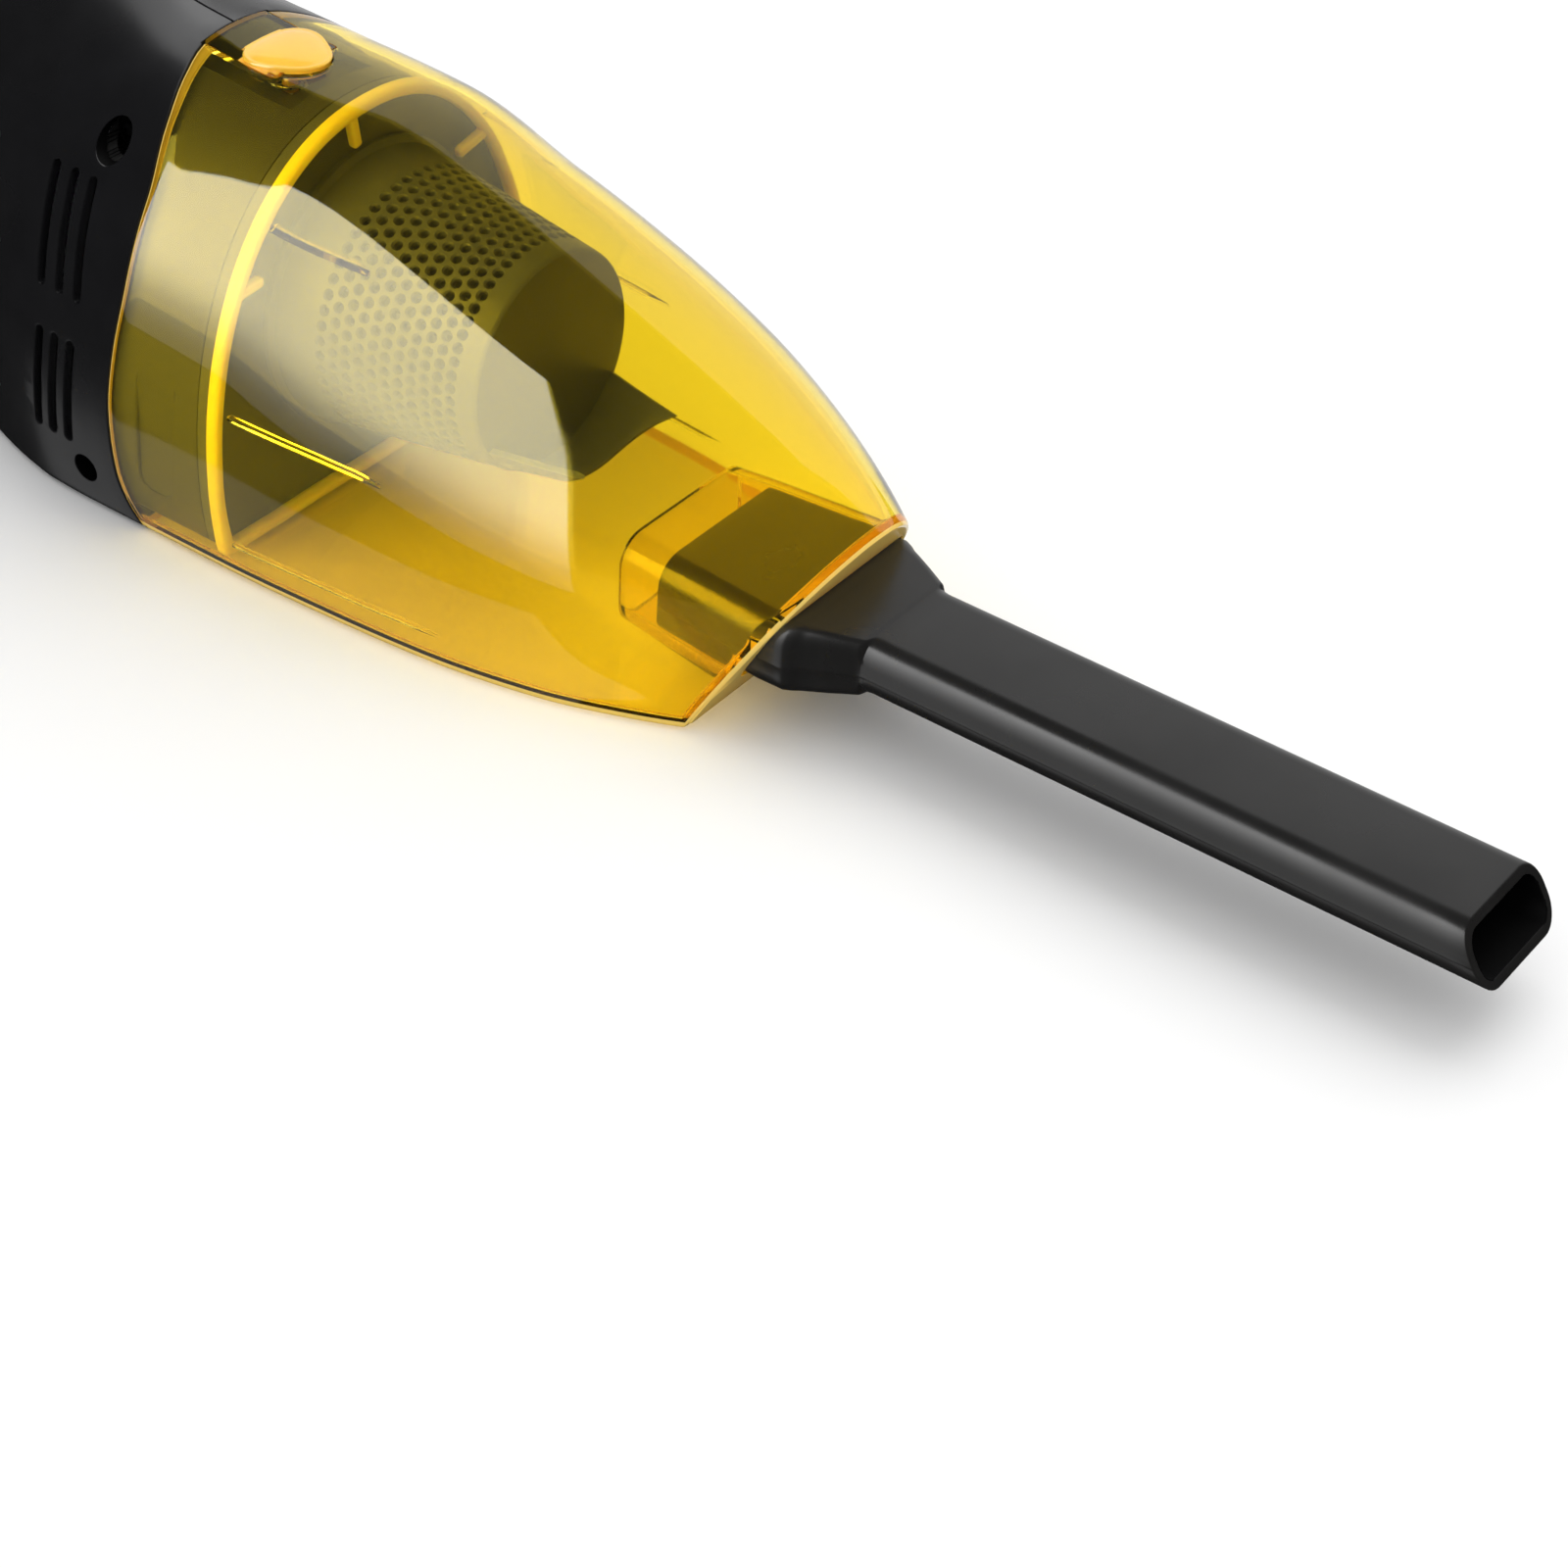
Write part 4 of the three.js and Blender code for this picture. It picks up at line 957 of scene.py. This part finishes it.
def seal_ring():
    rear, front, outer_inset, inner_inset = 36.6, 39.9, 2.3, 4.9
    keys = perimeter_keys(96)
    crown = 0.7
    middle_x, half_x = (rear + front) / 2, (front - rear) / 2
    middle_in, half_in = (outer_inset + inner_inset) / 2, (inner_inset - outer_inset) / 2
    rings = []
    for i in range(20):
        angle = 2 * math.pi * i / 20
        c, s = math.cos(angle), math.sin(angle)
        x = middle_x + half_x * math.copysign(abs(c) ** crown, c)
        inset = middle_in + half_in * math.copysign(abs(s) ** crown, s)
        rings.append([(x, *form_point(key, x, inset)) for key in keys])
    ring = loft("seal_soft_ring", rings, looped=True)
    tabs = [((-4.5, 82.6), (-6.5, 93)), ((28, 67.6), (41, 70.8)), ((-34.2, 63.8), (-51, 62.5)),
            ((5.5, 9), (8, 2))]
    limit = form("limit", rear + 0.2, front - 0.2, outer_inset + 0.8, 1.0)
    for (y0, z0), (y1, z1) in tabs:
        long = math.dist((y0, z0), (y1, z1))
        uy, uz = (y1 - y0) / long, (z1 - z0) / long
        stops = ((0.0, 0.7), (0.25, 0.95), (0.7, 1.15), (long, 1.2))
        bar = []
        for along, size in stops:
            cy, cz = y0 + uy * along, z0 + uz * along
            outline = []
            for a, b in circle(1.0, 20):
                a = math.copysign(abs(a) ** 0.5, a) * size
                b = math.copysign(abs(b) ** 0.5, b) * size
                outline.append((middle_x + a, cy - uz * b, cz + uy * b))
            bar.append(outline)
        tab = loft("tab", bar)
        boolean(tab, "INTERSECT", limit, keep=True)
        boolean(ring, "UNION", tab)
    bpy.data.objects.remove(limit)
    finish_piece(ring, SEAL, "filter", ["seal_ring"], 45.0)


# ---- filter cage ---------------------------------------------------------------------------
CAGE = {"rear": 36.6, "front": 88.5, "rear_radius": 31.8, "front_radius": 24.7, "wall": 1.5}
PITCH = 3.2
HOLE = 1.1


def cone_radius(x):
    t = (x - CAGE["rear"]) / (CAGE["front"] - CAGE["rear"])
    return CAGE["rear_radius"] + (CAGE["front_radius"] - CAGE["rear_radius"]) * t


def deflector_lip():
    rings = []
    steps, rows = 40, 12
    for i in range(steps + 1):
        turn = i / steps
        angle = math.radians(-150 + 120 * turn)
        reach = 12.4 + 9.0 * abs(2 * turn - 1) ** 3
        outside, inside = [], []
        for k in range(rows + 1):
            x = CAGE["front"] - 1.6 + (reach + 1.6) * k / rows
            radius = cone_radius(CAGE["front"]) - 0.15 - 0.19 * (x - CAGE["front"] + 1.6)
            lean = angle + math.radians(14 * (0.5 - turn) * k / rows)
            edge = 0.35 if k == rows else 0.0
            for ring, r in ((outside, radius - edge), (inside, radius - 1.5 + edge)):
                ring.append((x, r * math.cos(lean), AXIS_Z + r * math.sin(lean)))
        rings.append(outside + inside[::-1])
    return loft("lip", rings)


def filter_cage():
    rear, front, wall = CAGE["rear"], CAGE["front"], CAGE["wall"]
    r0, r1 = CAGE["rear_radius"], CAGE["front_radius"]
    profile = [(rear, r0 - wall), (rear, r0 + 1.0), (rear + 0.2, r0 + 1.2), (rear + 1.4, r0 + 1.2),
               (rear + 1.6, r0 + 1.0), (rear + 2.2, r0 - 0.3)]
    profile += [(x, cone_radius(x)) for x in (45, 55, 65, 75, 84, front - 1.2)]
    profile += [(front - 0.5, r1 - 0.05), (front - 0.1, r1 - 0.4), (front, r1 - 0.9),
                (front, r1 * 0.6), (front, 0.02), (front - 1.6, 0.02),
                (front - 1.6, r1 - wall - 0.4), (front - 2.2, r1 - wall + 0.1)]
    cage = turned("filter_cage_cone", profile, 144)
    boolean(cage, "UNION", deflector_lip())
    holes = []
    for column in range(11):
        x = 50.2 + column * PITCH
        count = 54
        for i in range(count):
            angle = 2 * math.pi * (i + (column % 2) / 2) / count
            c, s = math.cos(angle), math.sin(angle)
            rings = []
            for reach, size in ((-3.4, HOLE), (-0.28, HOLE), (0.05, HOLE + 0.3), (1.5, HOLE + 0.3)):
                r = cone_radius(x) + reach
                rings.append([(x + a * size, r * c - b * size * s, AXIS_Z + r * s + b * size * c)
                              for a, b in circle(1.0, 12)])
            holes.append(loft("hole", rings))
    cut(cage, join("holes", holes))
    finish_piece(cage, FILTER, "filter", ["filter_cage"], 35.0)
    return cage


def filter_element():
    """Pleated media: folds run along the cone and its front end is closed."""
    folds, sub = 36, 4

    def ring(x, outer, depth):
        points = []
        total = folds * 2 * sub
        for i in range(total):
            angle = 2 * math.pi * i / total
            wave = 0.5 - 0.5 * math.cos(folds * angle)
            r = outer - depth * wave
            points.append((x, r * math.cos(angle), AXIS_Z + r * math.sin(angle)))
        return points

    rings = [ring(39 + 46.5 * i / 12, 28.8 - 6.4 * i / 12, 3.2) for i in range(13)]
    body = loft("filter_pleats", rings)
    hollow = turned("hollow", [(38, 0.02), (38, 23.6), (83, 17.6), (83, 0.02)])
    cut(body, hollow)
    finish_piece(body, MEDIA, "filter", ["filter_element"], 50.0)


# ---- fan inlet, switch, gland and spring -----------------------------------------------------
def fan_guard():
    ring = turned("guard_ring", [(22, 21.6), (22.2, 21.4), (23.4, 21.4), (23.6, 21.6),
                                 (23.6, 23.0), (23.4, 23.2), (22.2, 23.2), (22, 23.0)])
    boolean(ring, "UNION", turned("guard_hub", [(22, 8.1), (22.8, 7.9), (23.6, 8.1),
                                                (23.6, 9.3), (22.8, 9.5), (22, 9.3)], 64))
    for i in range(3):
        bar = rod_x("bar", 0.7, -22.2, 22.2, 0, 16)
        spin = (Matrix.Translation((22.8, 0, AXIS_Z)) @ Matrix.Rotation(i * math.pi / 3, 4, "X")
                @ Matrix.Rotation(math.pi / 2, 4, "Z"))
        bar.data.transform(spin)
        boolean(ring, "UNION", bar)
    finish_piece(ring, INNER, "housing", ["fan_guard"])


def rounded_plate(name, x0, x1, y, z0, z1, radius, edge):
    """Plate with round corners in plan and a rounded upper edge."""
    outline = rounded([(x0, -y), (x0, y), (x1, y), (x1, -y)], radius, 8)
    middle = (x0 + x1) / 2

    def ring(shrink, z):
        fx, fy = 1 - shrink / ((x1 - x0) / 2), 1 - shrink / y
        return [(middle + (px - middle) * fx, py * fy, z) for px, py in outline]

    rings = [ring(edge, z0), ring(0, z0 + edge)]
    rings += [ring(edge * (1 - math.cos(a)), z1 - edge + edge * math.sin(a))
              for a in (0.0, 0.5, 1.0, math.pi / 2)]
    return loft(name, rings)


def power_switch():
    bezel = rounded_plate("switch_bezel_plate", -13.6, 13.6, 5.2, -2.1, -0.4, 2.5, 0.4)
    cut(bezel, box("slot_cut", -8.4, 8.4, -2.6, 2.6, -5, 5))
    bezel.data.transform(SWITCH_FRAME)
    finish_piece(bezel, INNER, "housing", ["switch_bezel"])
    slider = rounded_plate("switch_thumb", -9, 3, 4.4, -0.1, 2.6, 1.6, 0.6)
    for i in range(5):
        cut(slider, rod_y("groove", 0.62, -6, 6, -7.4 + i * 2.2, 2.75, 16))
    boolean(slider, "UNION", box("tongue", -5, -1, -2.2, 2.2, -3.2, 0.5))
    slider.data.transform(SWITCH_FRAME)
    finish_piece(slider, BUTTON, "switch", ["switch_slider"])


def cable_gland():
    bore = 3.0
    outer = [(GLAND_X, 5.1), (GLAND_X + 0.4, 5.6), (GLAND_X + 1.2, 5.9)]
    for i in range(3):
        x = -157.4 + i * 2.4
        outer += [(x, 5.9), (x + 0.3, 5.3), (x + 1.0, 5.3), (x + 1.3, 5.9)]
    outer += [(-145.2, 5.9), (-145.2, 8.0), (-143.0, 8.0)]
    profile = outer + [(-143.0, bore), (GLAND_X + 0.6, bore), (GLAND_X, bore + 0.6)]
    gland = turned("cable_gland_rubber", profile, 64, GLAND_Z)
    finish_piece(gland, RUBBER, "housing", ["cable_gland"])


def release_spring():
    turns, per, radius, wire = 4, 24, 3.3, 0.42
    z0, z1 = WELL["floor"] + 0.8, WELL["floor"] + 7.6
    rings = []
    for i in range(turns * per + 1):
        angle = 2 * math.pi * i / per
        z = z0 + (z1 - z0) * i / (turns * per)
        c, s = math.cos(angle), math.sin(angle)
        rings.append([(WELL["x"] + (radius + wire * a) * c, (radius + wire * a) * s,
                       z + wire * b) for a, b in circle(1.0, 10)])
    finish_piece(loft("spring_coil", rings), STEEL, "housing",
                 ["release_spring"], 60.0)


shells = body_shells()
screws()
cup = dust_cup()
tool = crevice_tool()
button = release_button()
collar = front_collar()
flange = filter_flange()
seal_ring()
cage = filter_cage()
filter_element()
fan_guard()
power_switch()
cable_gland()
release_spring()

CARRIED = {
    "fan_shroud": INNER, "fan_impeller": FAN, "motor_shaft": STEEL, "motor_can": CAN,
    "motor_armature": COPPER, "motor_magnet_left": MAGNET, "motor_magnet_right": MAGNET,
    "motor_end_cap": END_CAP, "motor_bracket": INNER, "motor_damper": RUBBER,
    "switch_body": SWITCH, "lead_inlet_to_switch": LEAD_RED,
    "lead_inlet_to_motor": LEAD_BLACK, "lead_switch_to_motor": LEAD_BLACK,
}
for name, material in CARRIED.items():
    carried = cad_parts[name]
    carried.data.materials.clear()
    carried.data.materials.append(material)


# ---- floor, light and camera -------------------------------------------------------------
def studio_floor():
    size = 4.0
    floor = object_from("studio_floor", [(-size, -size, 0), (size, -size, 0), (size, size, 0),
                                         (-size, size, 0)], [(0, 1, 2, 3)])
    paint = new_material("floor_pale", (0.93, 0.93, 0.93), 0.9)
    shader_of(paint).inputs["Specular IOR Level"].default_value = 0.0
    mix_base(paint, [0.925] * 3, [0.94] * 3, noise(paint, 2.0, 2.0), "Fac")
    floor.data.materials.append(paint)
    floor.location.z = -0.0004
    floor.visible_glossy = False
    floor.visible_shadow = False


def softbox(name, place, target, width, height, radiance, diffuse=True, glossy=True,
            only=None, fade=None):
    """Rectangular lamp that faces its target. only= limits it to some pieces and
    fade=(height share, height share, level) dims its lower part to level."""
    lamp = bpy.data.lights.new(name, "AREA")
    lamp.shape = "RECTANGLE"
    lamp.size, lamp.size_y = width, height
    lamp.energy = radiance * math.pi * width * height
    obj = new_object(name, lamp)
    obj.location = place
    obj.rotation_euler = (Vector(target) - Vector(place)).to_track_quat("-Z", "Y").to_euler()
    obj.visible_camera = False
    obj.visible_diffuse = diffuse
    obj.visible_glossy = glossy
    obj.visible_transmission = glossy
    if fade:
        lamp.use_nodes = True
        spot = node(lamp, "ShaderNodeNewGeometry")
        split = node(lamp, "ShaderNodeSeparateXYZ")
        ramp = node(lamp, "ShaderNodeMapRange", interpolation_type="SMOOTHSTEP",
                    From_Min=fade[0], From_Max=fade[1], To_Min=fade[2])
        link(lamp, spot, "Parametric", split, 0)
        link(lamp, split, "Y", ramp, "Value")
        link(lamp, ramp, "Result", lamp.node_tree.nodes["Emission"], "Strength")
    if only:
        lit = bpy.data.collections.new(name + "_lit")
        for piece in only:
            lit.objects.link(piece)
        obj.light_linking.receiver_collection = lit
    return obj


def studio_world():
    world = bpy.data.worlds.new("studio")
    bpy.context.scene.world = world
    world.use_nodes = True
    background = world.node_tree.nodes["Background"]
    rays = node(world, "ShaderNodeLightPath")
    level = node(world, "ShaderNodeMapRange", To_Min=0.92, To_Max=0.02)
    background.inputs["Color"].default_value = (1.0, 1.0, 1.0, 1)
    link(world, rays, "Is Glossy Ray", level, "Value")
    link(world, level, "Result", background, "Strength")


def studio_camera():
    data = bpy.data.cameras.new("camera")
    data.lens, data.sensor_width = 81.0, 36.0
    data.clip_start, data.clip_end = 0.02, 20.0
    camera = new_object("camera", data)
    right = Vector((0.80083, 0.59714, 0.04568))
    up = Vector((-0.40326, 0.48128, 0.77830))
    back = right.cross(up).normalized()
    place = Vector((0.41042, -0.49103, 0.44696))
    turn = Matrix((right, up, back)).transposed().to_4x4()
    camera.matrix_world = Matrix.Translation(place) @ turn
    bpy.context.scene.camera = camera


studio_floor()
studio_world()
studio_camera()
softbox("key", (-0.35, 1.15, 1.5), (-0.35, 1.15, 0.0), 2.4, 2.0, 1.1, glossy=False)
softbox("back", (-1.03, 1.6, 1.2), (-1.03, 0.0, 1.2), 3.95, 2.4, 0.8, diffuse=False)
softbox("back_low", (-1.5, 1.6, -0.75), (-1.5, 0.0, -0.75), 3.0, 1.5, 0.8, diffuse=False)
softbox("top", (-0.6, 0.96, 1.6), (-0.6, 0.96, 0.0), 3.0, 1.5, 1.8, diffuse=False, only=shells)
softbox("side", (-0.57, -1.0, 1.07), (-0.57, 0.0, 1.07), 1.45, 2.45, 6.6, diffuse=False,
        only=[cup, button], fade=(0.0, 0.22, 0.12))
softbox("side_tool", (-0.57, -1.0, 0.5), (-0.57, 0.0, 0.5), 1.45, 3.6, 6.0, diffuse=False,
        only=[tool], fade=(0.25, 0.9, 0.13))
softbox("side_inside", (-0.57, -1.0, 1.07), (-0.57, 0.0, 1.07), 1.45, 2.45, 6.0,
        glossy=False, only=[collar, flange, cage])
softbox("low", (-0.5, -0.75, -0.85), (0.0, 0.0, 0.05), 1.3, 0.7, 0.45, diffuse=False,
        only=[*shells, cup])
bpy.context.scene.view_settings.view_transform = "Standard"
